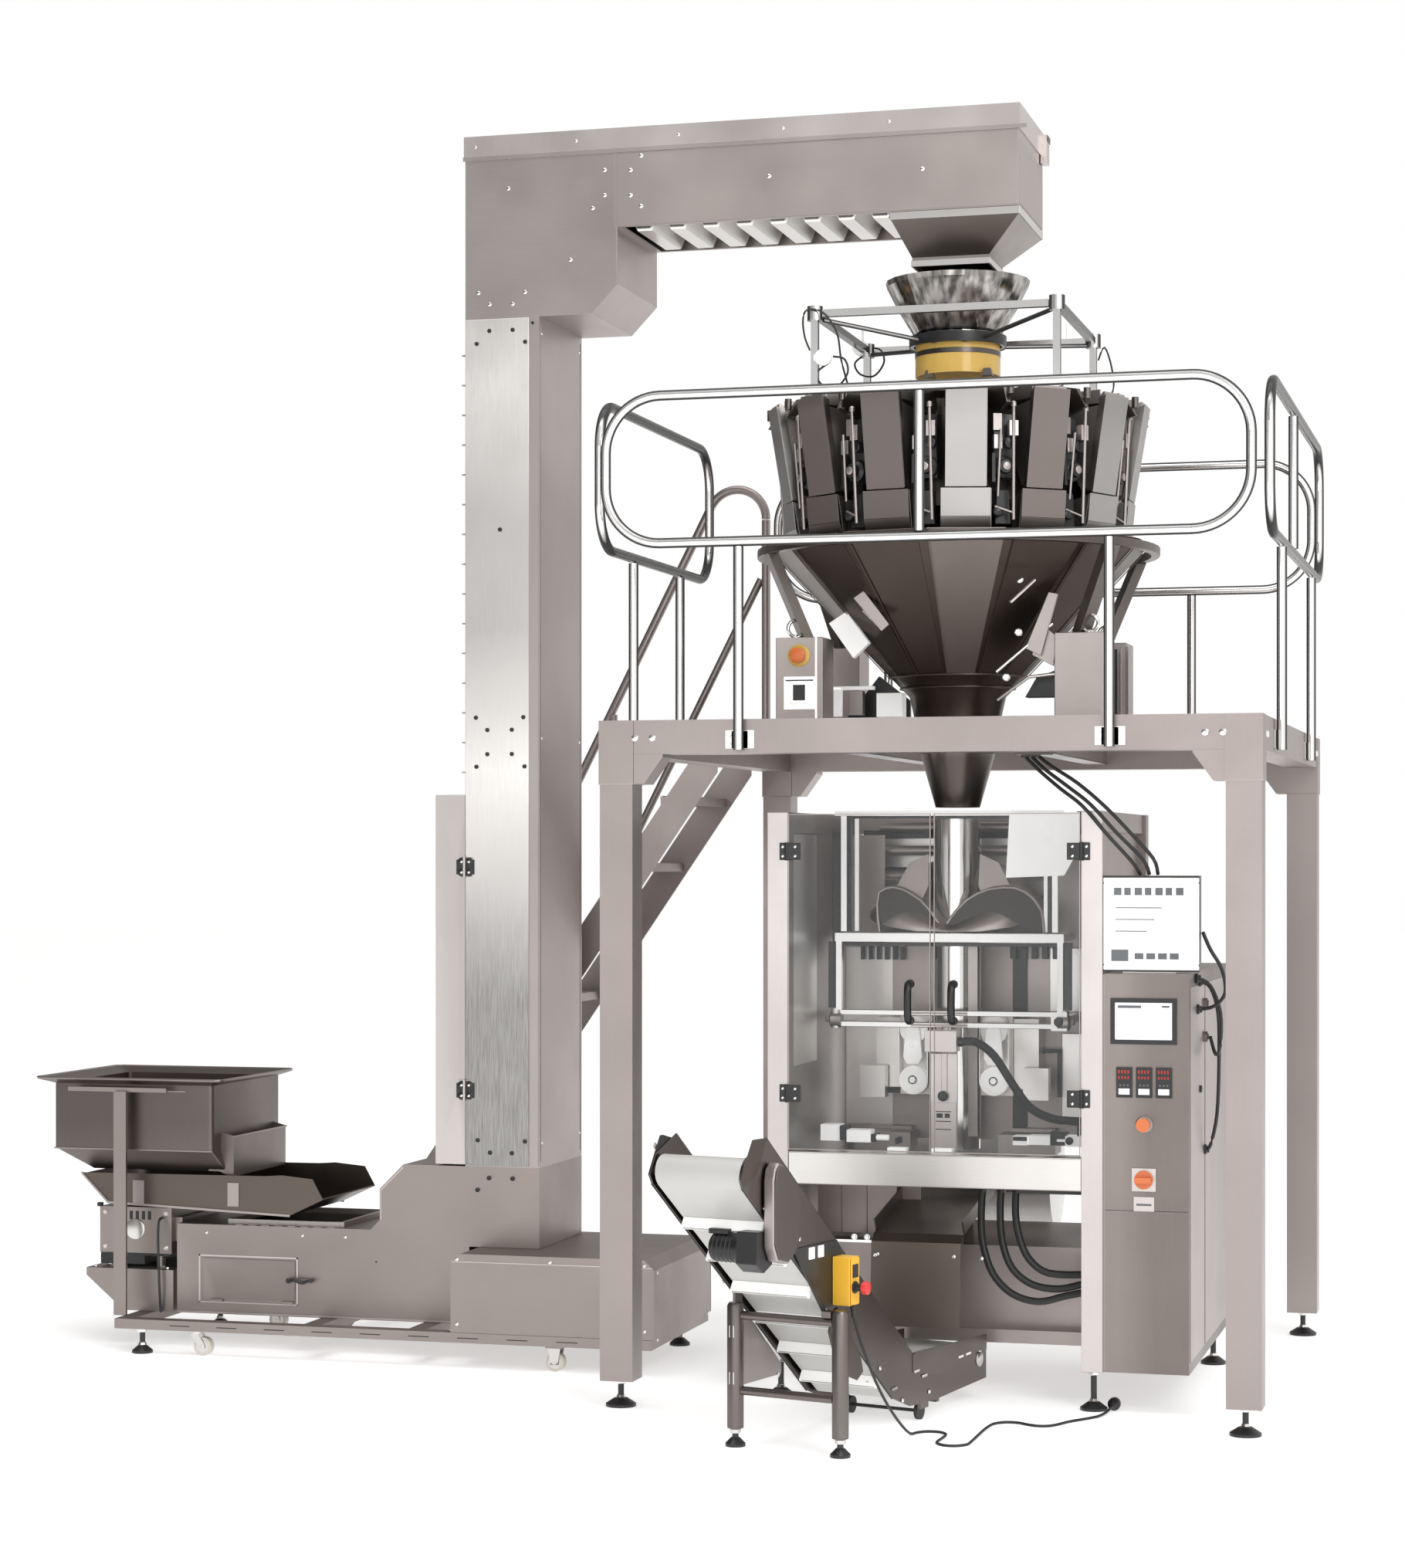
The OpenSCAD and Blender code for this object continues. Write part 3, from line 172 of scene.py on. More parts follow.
UPRIGHT = (700, 700, 14)  # brushed up and down
ACROSS = (14, 700, 700)  # brushed from left to right
STEEL = (0.36, 0.322, 0.308)
# Painted light and shade up the column's front, as (height in metres, tone) pairs.
COLUMN_PAINTED_LIGHT = [(0.62, 0.42), (1.15, 0.45), (1.4, 0.75), (1.62, 1.2), (1.9, 1.6), (2.12, 1.25),
                (2.35, 0.95), (2.7, 1.05), (3.0, 1.5), (3.35, 1.65)]
LOOK = {
    "satin": finish("satin_steel", STEEL, 1.0, 0.42, grain=ACROSS, bump=0.04, wear=0.35),
    "upright": finish("upright_steel", STEEL, 1.0, 0.40, grain=UPRIGHT, bump=0.04, wear=0.35),
    "pale": finish("pale_steel", (0.50, 0.462, 0.448), 1.0, 0.36, grain=UPRIGHT, wear=0.3),
    "column": finish("column_steel_painted_light", (0.60, 0.585, 0.57), 1.0, 0.33, grain=UPRIGHT,
                     bands=COLUMN_PAINTED_LIGHT),
    "bright": finish("bright_steel", (0.66, 0.64, 0.62), 1.0, 0.3, grain=ACROSS, smudge=0.03),
    "housing": finish("housing_steel", (0.262, 0.228, 0.212), 1.0, 0.42, grain=ACROSS, bump=0.04,
                      wear=0.35),
    "frame": finish("frame_steel", (0.285, 0.25, 0.238), 1.0, 0.40, grain=UPRIGHT, bump=0.04,
                    wear=0.3),
    "cabinet": finish("cabinet_steel", (0.205, 0.178, 0.165), 1.0, 0.38, grain=UPRIGHT,
                      bump=0.04, wear=0.35),
    "hopper": finish("hopper_steel", (0.15, 0.128, 0.12), 1.0, 0.36, spread=0.1, grain=UPRIGHT,
                     wear=0.5),
    "brown": finish("brown_steel", (0.092, 0.074, 0.062), 1.0, 0.34, spread=0.15,
                    grain=UPRIGHT, wear=0.5),
    "side": finish("side_steel", (0.115, 0.097, 0.09), 1.0, 0.3, spread=0.2,
                   grain=(160, 60, 160), wear=0.6),
    # edge=0.96 paints dark shade along the rails' outlines, where they are seen at a low angle.
    "rail": finish("rail_steel", (0.93, 0.92, 0.91), 1.0, 0.16, spread=0.02, bump=0.01,
                   edge=0.96, smudge=0.04, **{"Specular IOR Level": 0.1}),
    "polished": finish("polished_steel", (0.80, 0.785, 0.77), 1.0, 0.12, bump=0.01, smudge=0.04),
    "dark": finish("dark_steel", (0.115, 0.10, 0.09), 1.0, 0.28, spread=0.14, grain=UPRIGHT,
                   wear=0.5),
    # Near-black steel for painted shade in the hollows of the former's hoods.
    "shade": finish("shaded_steel", (0.045, 0.037, 0.034), 0.3, 0.5, grain=UPRIGHT, wear=0.2),
    "funnel": finish("funnel_steel", (0.10, 0.095, 0.09), 1.0, 0.14, spread=0.3,
                     grain=(38, 38, 0.6), bump=0.02, streak=4.0),
    "plate": finish("plate_steel", (0.21, 0.187, 0.172), 1.0, 0.36, grain=ACROSS, wear=0.5),
    "cover": finish("cover_steel", (0.30, 0.29, 0.283), 1.0, 0.30, grain=UPRIGHT, wear=0.5),
    "motor": finish("motor_paint", (0.16, 0.165, 0.175), 0.2, 0.45, grain=(900,) * 3, bump=0.15,
                    wear=0.4),
    "black": finish("black_plastic", (0.012, 0.012, 0.013), 0.0, 0.32, spread=0.3,
                    grain=(1200,) * 3, bump=0.08, wear=0.15),
    "rubber": finish("black_rubber", (0.016, 0.016, 0.016), 0.0, 0.5, spread=0.3,
                     grain=(900,) * 3, bump=0.15, wear=0.1),
    "belt": finish("white_belt", (0.50, 0.495, 0.48), 0.0, 0.35, spread=0.05, grain=(500,) * 3,
                   bump=0.1),
    "tyre": finish("caster_plastic", (0.55, 0.51, 0.45), 0.0, 0.4, spread=0.1,
                   grain=(600,) * 3, bump=0.1, wear=0.2),
    # glow=0.3 is painted light: the white plastic gives off light though it is no lamp.
    "white": finish("white_plastic_painted_glow", (0.86, 0.86, 0.85), 0.0, 0.28, spread=0.03,
                    grain=(900,) * 3, wear=0.1, glow=0.3),
    "screen": finish("screen_glass", (0.86, 0.87, 0.87), 0.0, 0.12, spread=0.02,
                     grain=(900,) * 3, bump=0.01, glow=0.45),
    "figures": finish("screen_marks", (0.13, 0.14, 0.15), 0.0, 0.25, grain=(900,) * 3),
    "digits": finish("red_digits", (0.45, 0.02, 0.015), 0.0, 0.25, grain=(900,) * 3),
    "orange": finish("orange_plastic", (0.62, 0.15, 0.035), 0.0, 0.25, spread=0.12,
                     grain=(800,) * 3, wear=0.3),
    "red": finish("red_plastic", (0.62, 0.035, 0.03), 0.0, 0.28, spread=0.1,
                  grain=(800,) * 3, wear=0.2),
    "yellow": finish("yellow_plastic", (0.80, 0.42, 0.03), 0.0, 0.35, spread=0.08,
                     grain=(800,) * 3, bump=0.1, wear=0.2),
    "brass": finish("ochre_ring", (0.62, 0.40, 0.10), 0.3, 0.35, spread=0.12, grain=(800,) * 3),
    "amber": finish("amber_sleeve", (0.85, 0.56, 0.14), 0.0, 0.18, spread=0.08,
                    grain=(60, 60, 10), bump=0.02, Alpha=0.86, IOR=1.5),
    "clear": finish("clear_acrylic", (0.40, 0.42, 0.43), 0.0, 0.06, spread=0.02,
                    grain=(90,) * 3, bump=0.004, smudge=0.03, Alpha=0.05, IOR=1.49),
    "film": finish("packing_film", (0.78, 0.78, 0.765), 0.1, 0.22, spread=0.05,
                   grain=(10, 900, 900), bump=0.06),
}
TREAD = finish("tread_plate", (0.46, 0.43, 0.42), 1.0, 0.4, grain=(90, 140, 90), bump=0.5, wear=0.4)


# ---- shapes ----

def circle(centre, u, v, r, n):
    return [centre + r * (math.cos(2 * math.pi * k / n) * u + math.sin(2 * math.pi * k / n) * v)
            for k in range(n)]


def across(axis):
    """Two unit vectors square to axis and to each other."""
    axis = Vector(axis).normalized()
    side = Vector((0, 0, 1)) if abs(axis.z) < 0.9 else Vector((1, 0, 0))
    u = axis.cross(side).normalized()
    return u, axis.cross(u).normalized()


def rounded(x0, x1, y0, y1, z, turn, steps=5):
    """A level rectangle with rounded corners, as points."""
    found = []
    for cx, cy, start in ((x1 - turn, y1 - turn, 0), (x0 + turn, y1 - turn, 90),
                          (x0 + turn, y0 + turn, 180), (x1 - turn, y0 + turn, 270)):
        for k in range(steps + 1):
            a = math.radians(start + 90 * k / steps)
            found.append(Vector((cx + turn * math.cos(a), cy + turn * math.sin(a), z)))
    return found


def smooth(points, steps):
    """Points on a curve through the given points, steps of them from each point to the next."""
    p = [Vector(q) for q in points]
    found = []
    for k in range(len(p) - 1):
        a, b, c, d = p[max(k - 1, 0)], p[k], p[k + 1], p[min(k + 2, len(p) - 1)]
        for j in range(steps):
            t = j / steps
            found.append(0.5 * (2 * b + (c - a) * t + (2 * a - 5 * b + 4 * c - d) * t ** 2
                                + (3 * b - a - 3 * c + d) * t ** 3))
    return found + [p[-1]]


class Kit:
    """Shapes that become one piece, in the millimetres of a place."""

    def __init__(self, place=PLACE):
        self.bm = bmesh.new()
        self.place = place

    def loft(self, rings, cap=True, loop=False):
        """A skin over rings of the same number of points."""
        made = [[self.bm.verts.new(p) for p in ring] for ring in rings]
        count = len(rings[0])
        for a, b in zip(made, made[1:] + made[:1] if loop else made[1:]):
            for i in range(count):
                j = (i + 1) % count
                self.bm.faces.new((a[i], a[j], b[j], b[i]))
        if cap and not loop:
            self.bm.faces.new(made[0][::-1])
            self.bm.faces.new(made[-1])

    def prism(self, axis, outline, lo, hi):
        """An outline along axis "x", "y" or "z": it gives the two other coordinates, in order."""
        at = {"x": lambda p, s: (s, *p), "y": lambda p, s: (p[0], s, p[1]),
              "z": lambda p, s: (*p, s)}[axis]
        self.loft([[at(p, s) for p in outline] for s in (lo, hi)])

    def box(self, a, b):
        self.prism("z", [(a[0], a[1]), (b[0], a[1]), (b[0], b[1]), (a[0], b[1])], a[2], b[2])

    def turned(self, origin, axis, profile, n=28):
        """A body of revolution: profile is (distance along axis, radius) pairs."""
        origin, axis = Vector(origin), Vector(axis).normalized()
        u, v = across(axis)
        self.loft([circle(origin + axis * s, u, v, max(r, 0.05), n) for s, r in profile])

    def rod(self, p, q, r, n=16):
        p, q = Vector(p), Vector(q)
        self.turned(p, q - p, [(0, r), ((q - p).length, r)], n)

    def pipe(self, path, r, n=12, loop=False):
        """A tube along the points of path."""
        path = [Vector(p) for p in path]
        last = len(path) - 1
        u = None
        rings = []
        for k, p in enumerate(path):
            if loop:
                way = path[(k + 1) % len(path)] - path[k - 1]
            else:
                way = path[min(k + 1, last)] - path[max(k - 1, 0)]
            way.normalize()
            u = across(way)[0] if u is None else (u - way * u.dot(way)).normalized()
            rings.append(circle(p, u, way.cross(u), r, n))
        self.loft(rings, loop=loop)

    def bolt(self, p, axis, r=8):
        """A hexagon head on its washer."""
        self.turned(p, axis, [(0, r * 1.25), (r * 0.25, r * 1.2)], 18)
        self.turned(Vector(p) + Vector(axis) * r * 0.25, axis,
                    [(0, r), (r * 0.5, r), (r * 0.66, r * 0.82)], 6)

    def screw(self, p, axis, r=5):
        """A low domed head."""
        self.turned(p, axis, [(0, r), (r * 0.3, r * 0.92), (r * 0.5, r * 0.5)], 14)

    def sheet(self, corners, t):
        """A flat sheet t thick on four or more corners."""
        p = [Vector(q) for q in corners]
        out = (p[1] - p[0]).cross(p[-1] - p[0]).normalized() * t
        self.loft([p, [q + out for q in p]])

    def part(self, matrix, make):
        """Adds the shapes that make() draws, moved by matrix."""
        inner = Kit(self.place)
        make(inner)
        bmesh.ops.transform(inner.bm, matrix=matrix, verts=inner.bm.verts)
        mesh = bpy.data.meshes.new("part")
        inner.bm.to_mesh(mesh)
        inner.bm.free()
        self.bm.from_mesh(mesh)
        bpy.data.meshes.remove(mesh)

    def done(self, name, look, body="line", bevel=0.0, angle=35, replaces=()):
        """The finished piece, riding on a body. bevel is in millimetres."""
        bmesh.ops.recalc_face_normals(self.bm, faces=self.bm.faces)
        self.bm.transform(self.place)
        mesh = bpy.data.meshes.new(name)
        self.bm.to_mesh(mesh)
        self.bm.free()
        piece = bpy.data.objects.new(name, mesh)
        bpy.context.scene.collection.objects.link(piece)
        mesh.materials.append(LOOK[look])
        soften(piece, bevel, angle)
        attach(piece, body)
        if replaces:
            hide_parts(*replaces)
        return piece


def soften(piece, bevel, angle=35):
    """Rounds the edges and shades the faces smooth between them."""
    for face in piece.data.polygons:
        face.use_smooth = True
    piece.data.set_sharp_from_angle(angle=math.radians(angle))
    if bevel:
        mod = piece.modifiers.new("edges", "BEVEL")
        mod.width = bevel * MM
        mod.segments = 2
        mod.limit_method = "ANGLE"
        mod.angle_limit = math.radians(40)
        mod.harden_normals = True


# ---- camera and cord ----

def make_camera():
    """Level camera at eye height, in front of the line and to its right."""
    lens = bpy.data.cameras.new("camera")
    lens.sensor_width = 36
    lens.lens = 72.86
    lens.shift_y = 0.0467
    lens.clip_end = 200
    camera = bpy.data.objects.new("camera", lens)
    camera.location = PLACE @ Vector((2711.8, -8968.3, 1618.6))
    camera.rotation_euler = (math.radians(90), 0, math.radians(15.353))
    bpy.context.scene.collection.objects.link(camera)
    bpy.context.scene.camera = camera


CORD_ROUTE = [
    (826, -558, 399.7), (828, -556, 372), (837, -543, 325), (850, -515, 265), (864, -474, 200),
    (879, -424, 138), (895, -370, 84), (909, -318, 42), (920, -280, 16), (926, -249, 5),
    (935, -219, 4), (959, -196, 4), (992, -196, 4), (1015, -219, 4), (1020, -254, 4),
    (1018, -296, 4), (1016, -336, 4), (1020, -366, 4), (1044, -390, 4), (1077, -390, 4),
    (1101, -366, 4), (1106, -334, 4), (1107, -250, 4), (1108, -130, 4), (1113, -52, 4),
    (1123, -17, 4), (1147, 7, 4), (1180, 8, 4), (1204, -8, 4), (1226, -22, 4), (1251, -28, 4),
    (1276, -18, 4), (1295, 10, 4), (1322, 68, 4), (1355, 116, 4), (1385, 166, 4), (1404, 214, 9),
    (1413, 258, 16.8), (1415, 284.7, 19)]
CORD_D = 8


def make_cord():
    """The conveyor's mains lead along the floor, its sleeve and its plug."""
    path = [Vector((p.x, p.y, max(p.z, CORD_D / 2))) for p in smooth(CORD_ROUTE, 6)]
    lead = Kit()
    lead.pipe(path, CORD_D / 2, 12)
    lead = lead.done("conveyor_lead", "rubber", replaces=["conveyor_cord"])
    sleeve = Kit()
    sleeve.turned(path[0] + Vector((0, 0, 0.2)), path[3] - path[0],
                  [(0, 8.5), (6, 8.5), (8, 7), (30, 5)], 20)
    sleeve = sleeve.done("lead_sleeve", "rubber")
    plug = Kit()
    plug.turned((1415, 282, 19), (0, 1, 0), [(0, 6), (3, 9), (10, 12), (14, 17), (16, 18.6),
                                             (34, 18.6), (36, 17), (48, 14.6), (49, 13)], 28)
    for s in (-1, 1):
        plug.rod((1415 + s * 8, 330, 19), (1415 + s * 8, 348, 19), 2.4)
    plug = plug.done("mains_plug", "black", replaces=["conveyor_plug"])


# ---- CAD nodes ----

NODE_LOOK = {
    "elevator_base": ("housing", 1.5), "elevator_lower_housing": ("housing", 3),
    "trough_hatch": ("housing", 1), "elevator_column": ("upright", 1.5),
    "column_door": ("pale", 3), "elevator_head": ("satin", 2), "head_lid": ("pale", 2),
    "elevator_chute": ("plate", 1), "bucket_chain": ("bright", 1), "gearmotor": ("motor", 2),
    "caster_fork_front": ("bright", 1), "caster_fork_back": ("bright", 1),
    "caster_wheel_1": ("tyre", 2), "caster_wheel_2": ("tyre", 2), "caster_wheel_3": ("tyre", 2),
    "caster_wheel_4": ("tyre", 2), "feeder_tray": ("brown", 1),
    "feeder_drive": ("housing", 2), "platform_frame": ("frame", 3),
    "platform_deck": ("frame", 0), "guardrails": ("rail", 0), "stairs": ("frame", 0),
    "sensor_frame": ("rail", 1.5),
    "bagger_frame": ("frame", 2), "control_cabinet": ("cabinet", 3),
    "discharge_funnel": ("dark", 0.8), "infeed_sleeve": ("amber", 0),
    "stop_button": ("orange", 2), "power_switch": ("orange", 2),
    "forming_tube": ("polished", 0.5), "pull_belts": ("bright", 1),
    "left_pulley": ("white", 2), "right_pulley": ("white", 2), "vertical_sealer": ("pale", 1.5),
    "front_jaw": ("bright", 1.5), "rear_jaw": ("bright", 1.5), "bag_chute": ("brown", 1),
    "film_roll": ("film", 2), "cables": ("rubber", 0),
    "conveyor_belt": ("belt", 0), "conveyor_drum": ("bright", 1),
    "conveyor_stop_button": ("red", 2), "conveyor_wheels": ("rubber", 2),
    "levelling_feet": ("black", 1)}


def dress_nodes():
    """Gives each CAD node that stays in view its finish and softened edges."""
    for name, (look, bevel) in NODE_LOOK.items():
        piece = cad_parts[name]
        if not piece.material_slots:
            piece.data.materials.append(LOOK[look])
        for slot in piece.material_slots:
            slot.link = "OBJECT"
            slot.material = LOOK[look]
        if bevel:
            mod = piece.modifiers.new("edges", "BEVEL")
            mod.width = bevel * MM
            mod.segments = 2
            mod.limit_method = "ANGLE"
            mod.angle_limit = math.radians(50)
            mod.harden_normals = False


# ---- elevator and feeder ----

HEAD_BOLTS = [(-265, 3807), (-265, 3727), (-305, 3688), (-179, 3802), (-179, 3722), (-144, 3846),
              (-144, 3686), (-588, 3766), (-379, 3527), (-690, 3435), (-652, 3397), (-574, 3395),
              (-532, 3431), (275, 3757), (765, 3752)]
COLUMN_BOLTS = [(-653, 3312), (-574, 3312), (-696, 3272), (-532, 3272), (-617, 2672), (-699, 2068),
                (-538, 2068), (-660, 2028), (-577, 2028), (-660, 1950), (-577, 1950),
                (-697, 1910), (-534, 1910)]
SEAM_BOLTS = [(-693, 707), (-533, 707), (-651, 668), (-577, 668), (-655, 586), (-575, 586),
              (-694, 547)]


def elevator():
    """Sheets, seams and fasteners of the elevator."""
    sheets = Kit()
    sheets.box((-228, FRONT - 2.4, 3629), (1064, FRONT, 3858))
    sheets.prism("y", [(-732, 3356), (-312, 3356), (-226, 3446), (-226, 3622), (-232, 3628),
                       (-232, 3858), (-732, 3858)], FRONT - 1.2, FRONT)
    sheets.box((-742, FRONT - 6, 3861), (1092, FRONT - 4, 3875))
    sheets.box((1066, FRONT + 6, 3632), (1067.6, 1144, 3830))
    sheets.box((-515, FRONT - 2, 626), (-488, FRONT, 3350))
    for y in (FRONT + 14, 1136):
        sheets.box((-485, y - 2, 640), (-483.6, y + 2, 3330))
    sheets.done("elevator_sheets", "satin", bevel=0.8)

    # The column's front skin is lighter steel than its sides and carries painted light and shade up its
    # height.
    column = Kit()
    column.box((-735, FRONT - 2.6, 626), (-520, FRONT, 3350))
    column.done("column_front", "column", bevel=1)

    chute = Kit()
    chute.box((660, FRONT + 2, 3601), (1068, FRONT + 4, 3624))
    chute.box((1066, FRONT + 4, 3601), (1068, 1146, 3624))
    for s in (-1, 1):
        chute.box((WX - 125, WY + s * 123.5 - 1.2, 3470), (WX + 125, WY + s * 123.5 + 1.2, 3489))
        chute.box((WX + s * 123.5 - 1.2, WY - 124, 3470), (WX + s * 123.5 + 1.2, WY + 124, 3489))
    for k in range(11):
        x = -150 + 110 * k
        for y in (745, 1105):
            chute.sheet([(x - 50, y, 3688), (x + 50, y, 3688), (x + 22, y, 3624),
                         (x - 22, y, 3624)], 3)
        chute.box((x - 54, 742, 3686), (x + 54, 748, 3692))
    chute.done("chute_rims", "bright", bevel=0.6)

    bolts = Kit()
    for x, z in HEAD_BOLTS:
        bolts.screw((x, FRONT - 2.4, z), (0, -1, 0), 7)
    for x in range(-700, 1000, 340):
        bolts.screw((x, FRONT - 4, 3905), (0, -1, 0), 5)
    for x, z in ((-700, 345), (-390, 345), (-80, 345), (-700, 140), (-80, 140)):
        bolts.screw((x, 520, z), (0, -1, 0), 6)
    for x in (-1640, -1300, -1150):
        bolts.screw((x, FRONT, 380), (0, -1, 0), 5)
    for z in (700, 2000, 3300):
        bolts.screw((-485, FRONT + 26, z), (1, 0, 0), 5)
        bolts.screw((-485, 1124, z), (1, 0, 0), 5)
    for z in (340, 130):
        bolts.screw((-50, 560, z - 20), (1, 0, 0), 6)
        bolts.screw((-50, 1160, z - 20), (1, 0, 0), 6)
    bolts.done("elevator_screws", "polished")

    studs = Kit()
    for x, z in COLUMN_BOLTS + SEAM_BOLTS:
        studs.turned((x, FRONT - 2.6, z), (0, -1, 0), [(0, 8), (3, 7.6), (5, 5)], 6)
    studs.turned((-507, FRONT - 2, 3332), (0, -1, 0), [(0, 6), (3, 5)], 6)
    studs.box((-1046, FRONT - 0.8, 300), (-1040, FRONT, 306))
    for x in range(-1690, -200, 165):
        studs.box((x, 519.2, 94), (x + 70, 520, 97))
    studs.box((1088, 1094, 3905), (1091.5, 1150, 3925))
    studs.done("elevator_studs", "black", bevel=0.4)

    trim = Kit()
    for x0, x1, z0, z1 in ((-1668, -1316, 302, 308), (-1668, -1316, 150, 154),
                           (-1668, -1662, 150, 308), (-1322, -1316, 150, 308)):
        trim.box((x0, FRONT - 1.6, z0), (x1, FRONT, z1))
    trim.prism("y", [(-1744, 116), (-728, 116), (-728, 120), (-1740, 120)], FRONT - 1.6, FRONT)
    trim.prism("y", [(-1028, 440), (-1024, 440), (-1024, 536), (-947, 612), (-950, 616),
                     (-1028, 539)], FRONT - 1.6, FRONT)
    trim.box((-718, 518.6, 336), (-54, 520, 339))
    for x in range(-1540, -1200, 46):
        trim.box((x, 706, 407), (x + 26, 730, 409.5))
    trim.done("housing_trim", "pale", bevel=0.5)

    mouth = Kit()
    for x in (-1575, -1180):
        mouth.prism("y", [(x, 407), (x + 15, 407), (x + 15, 425), (x, 425)], 726, 1124)
    for y in (726, 1112):
        mouth.box((-1560, y, 407), (-1180, y + 12, 425))
    mouth.done("trough_collar", "satin", bevel=0.8)

    hinge_leaves("column_hinges", "column_cover", [(-746, z) for z in (867, 1587)], 23, FRONT - 6)
    hinge_leaves("column_hinge_leaves", "line", [(-722, z) for z in (867, 1587)], 23, FRONT - 3)

    latch = Kit()
    latch.turned((-1340, 680, 234), (0, -1, 0), [(-2, 9), (5, 9), (8, 6)], 20)
    latch.pipe(smooth([(-1340, 676, 234), (-1318, 672, 236), (-1292, 674, 228),
                       (-1270, 677, 236), (-1258, 679, 232)], 4), 4.5)
    latch.done("hatch_latch", "black", "hatch")

    fins = Kit()
    for k in range(14):
        fins.turned((-440, 1270 + k * 12, 3630), (0, 1, 0), [(0, 69), (5, 69)], 32)
    for k in range(5):
        fins.turned((-440, 1480, 3630), (0, -1, 0),
                    [(-0.5, 12 + 11 * k), (1.5, 12 + 11 * k), (1.5, 15 + 11 * k)], 32)
    for x, z in ((-488, 3572), (-392, 3572), (-488, 3688), (-392, 3688)):
        fins.bolt((x, 1260, z), (0, 1, 0), 7)
    fins.box((-372, 1300, 3598), (-354, 1384, 3662))
    fins.done("gearmotor_fins", "motor", bevel=0.6)


def hinge_leaves(name, body, places, half, front):
    """Black hinge leaves on a face square to Y, with their screws."""
    leaves, screws = Kit(), Kit()
    for x, z in places:
        for s in (-1, 1):
            leaves.turned((x, front + 2, z + s * 17), (0, -1, 0),
                          [(0, half - 9), (4, half - 9), (6, half - 12)], 20)
            screws.screw((x, front - 4, z + s * 17), (0, -1, 0), 4.5)
        leaves.box((x - half + 5, front - 3, z - 24), (x + half - 5, front + 2, z + 24))
    leaves.done(name, "black", body, bevel=1)
    screws.done(name + "_screws", "polished", body)


def feeder():
    """Rim, ribs, springs and drive of the feeder."""
    x0, x1, y0, y1 = -2225, -1549, 613, 1237
    shell = Kit()
    levels = [(-2165, -1595, 645, 1205, 868, 14), (-2165, -1595, 645, 1205, 653, 14),
              (-2060, -1575, 720, 1130, 580, 8)]
    outer = [rounded(*level) for level in levels]
    inner = [rounded(xa + 3, xb - 3, ya + 3, yb - 3, z, turn)
             for xa, xb, ya, yb, z, turn in reversed(levels)]
    lip = [rounded(x0 + 4, x1 - 4, y0 + 4, y1 - 4, 882, 24),
           rounded(x0 + 1, x1 - 1, y0 + 1, y1 - 1, 888, 26),
           rounded(x0 + 6, x1 - 6, y0 + 6, y1 - 6, 890, 24),
           rounded(x0 + 12, x1 - 12, y0 + 12, y1 - 12, 885, 22)]
    shell.loft(outer[::-1] + lip + inner[::-1], loop=True)
    for y in (712, 1146):
        shell.prism("y", [(-1596, 712), (-1549, 700), (-1549, 560), (-1600, 582), (-1640, 582)],
                    y, y + 3)
    shell.box((-1552, 715, 566), (-1549, 1146, 700))
    shell.done("hopper_shell", "hopper", angle=25, replaces=["feeder_hopper"])

    rim = Kit()
    rim.pipe(rounded(x0 + 5, x1 - 5, y0 + 5, y1 - 5, 887, 24), 4.5, 8, loop=True)
    rim.box((-2164, 642, 650), (-1596, 645, 655))
    rim.box((-2080, 642, 845), (-1690, 645, 850))
    rim.box((-1548, 705, 694), (-1546, 1156, 700))
    rim.done("hopper_rim", "frame", bevel=0.6)

    tray = Kit()
    for y0_, y1_ in ((686, 690), (1160, 1164)):
        tray.prism("y", [(-2086, 572), (-2086, 563), (-1992, 468), (-1340, 441), (-1340, 449),
                         (-1989, 476)], y0_, y1_)
        for x in (-1900, -1560):
            tray.box((x, y0_, 470), (x + 40, y1_, 548))
    tray.done("tray_edges", "satin", "tray", bevel=0.6)

    drive = Kit()
    for x in (-2010, -1830):
        for y in (752, 1098):
            coil = [(x + 13 * math.cos(0.9 * k), y + 13 * math.sin(0.9 * k), 255 + k * 1.0)
                    for k in range(45)]
            drive.pipe(coil, 2.6, 8)
    for x, z in ((-2020, 320), (-1800, 320), (-2020, 435), (-1800, 435)):
        drive.bolt((x, 730, z), (0, -1, 0), 7)
    drive.turned((-1910, 730, 380), (0, -1, 0), [(0, 34), (4, 34), (6, 30)], 32)
    for x in (-2050, -1790):
        drive.bolt((x, 720, 252.2), (0, 0, 1), 7)
    drive.done("drive_springs", "bright", bevel=0.4)

    dark = Kit()
    dark.box((-2036, 727.5, 292), (-1784, 730, 300))
    for x in (-2036, -1800):
        dark.box((x, 700, 455), (x + 16, 716, 468))
    dark.box((-2040, 735, 262), (-1880, 1115, 292))
    for k in range(6):
        dark.box((-1976 + k * 22, 729, 412), (-1964 + k * 22, 730.5, 440))
    dark.done("drive_base", "black", bevel=1.5)

    casters = Kit()
    for (x, y), body in (((-1582, 550), "wheel_1"), ((-1582, 1170), "wheel_2"),
                         ((-380, 550), "wheel_3"), ((-380, 1170), "wheel_4")):
        hub = Kit()
        for s in (-1, 1):
            hub.turned((x, y + s * 13.6, 30), (0, s, 0), [(0, 21), (1, 21), (1.2, 17),
                                                         (0.6, 10), (1.4, 8)], 28)
            hub.bolt((x, y + s * 17, 30), (0, s, 0), 5)
        hub.done(f"hub_{body}", "bright", body)
    for x, y in ((-380, 550), (-380, 1170)):
        for s in (-1, 1):
            casters.prism("y", [(x - 22, 80), (x + 22, 80), (x + 13, 30), (x, 22), (x - 13, 30)],
                          y + s * 20.5 - 1, y + s * 20.5 + 1)
    casters.done("caster_brackets", "bright", bevel=0.6)


# ---- platform ----

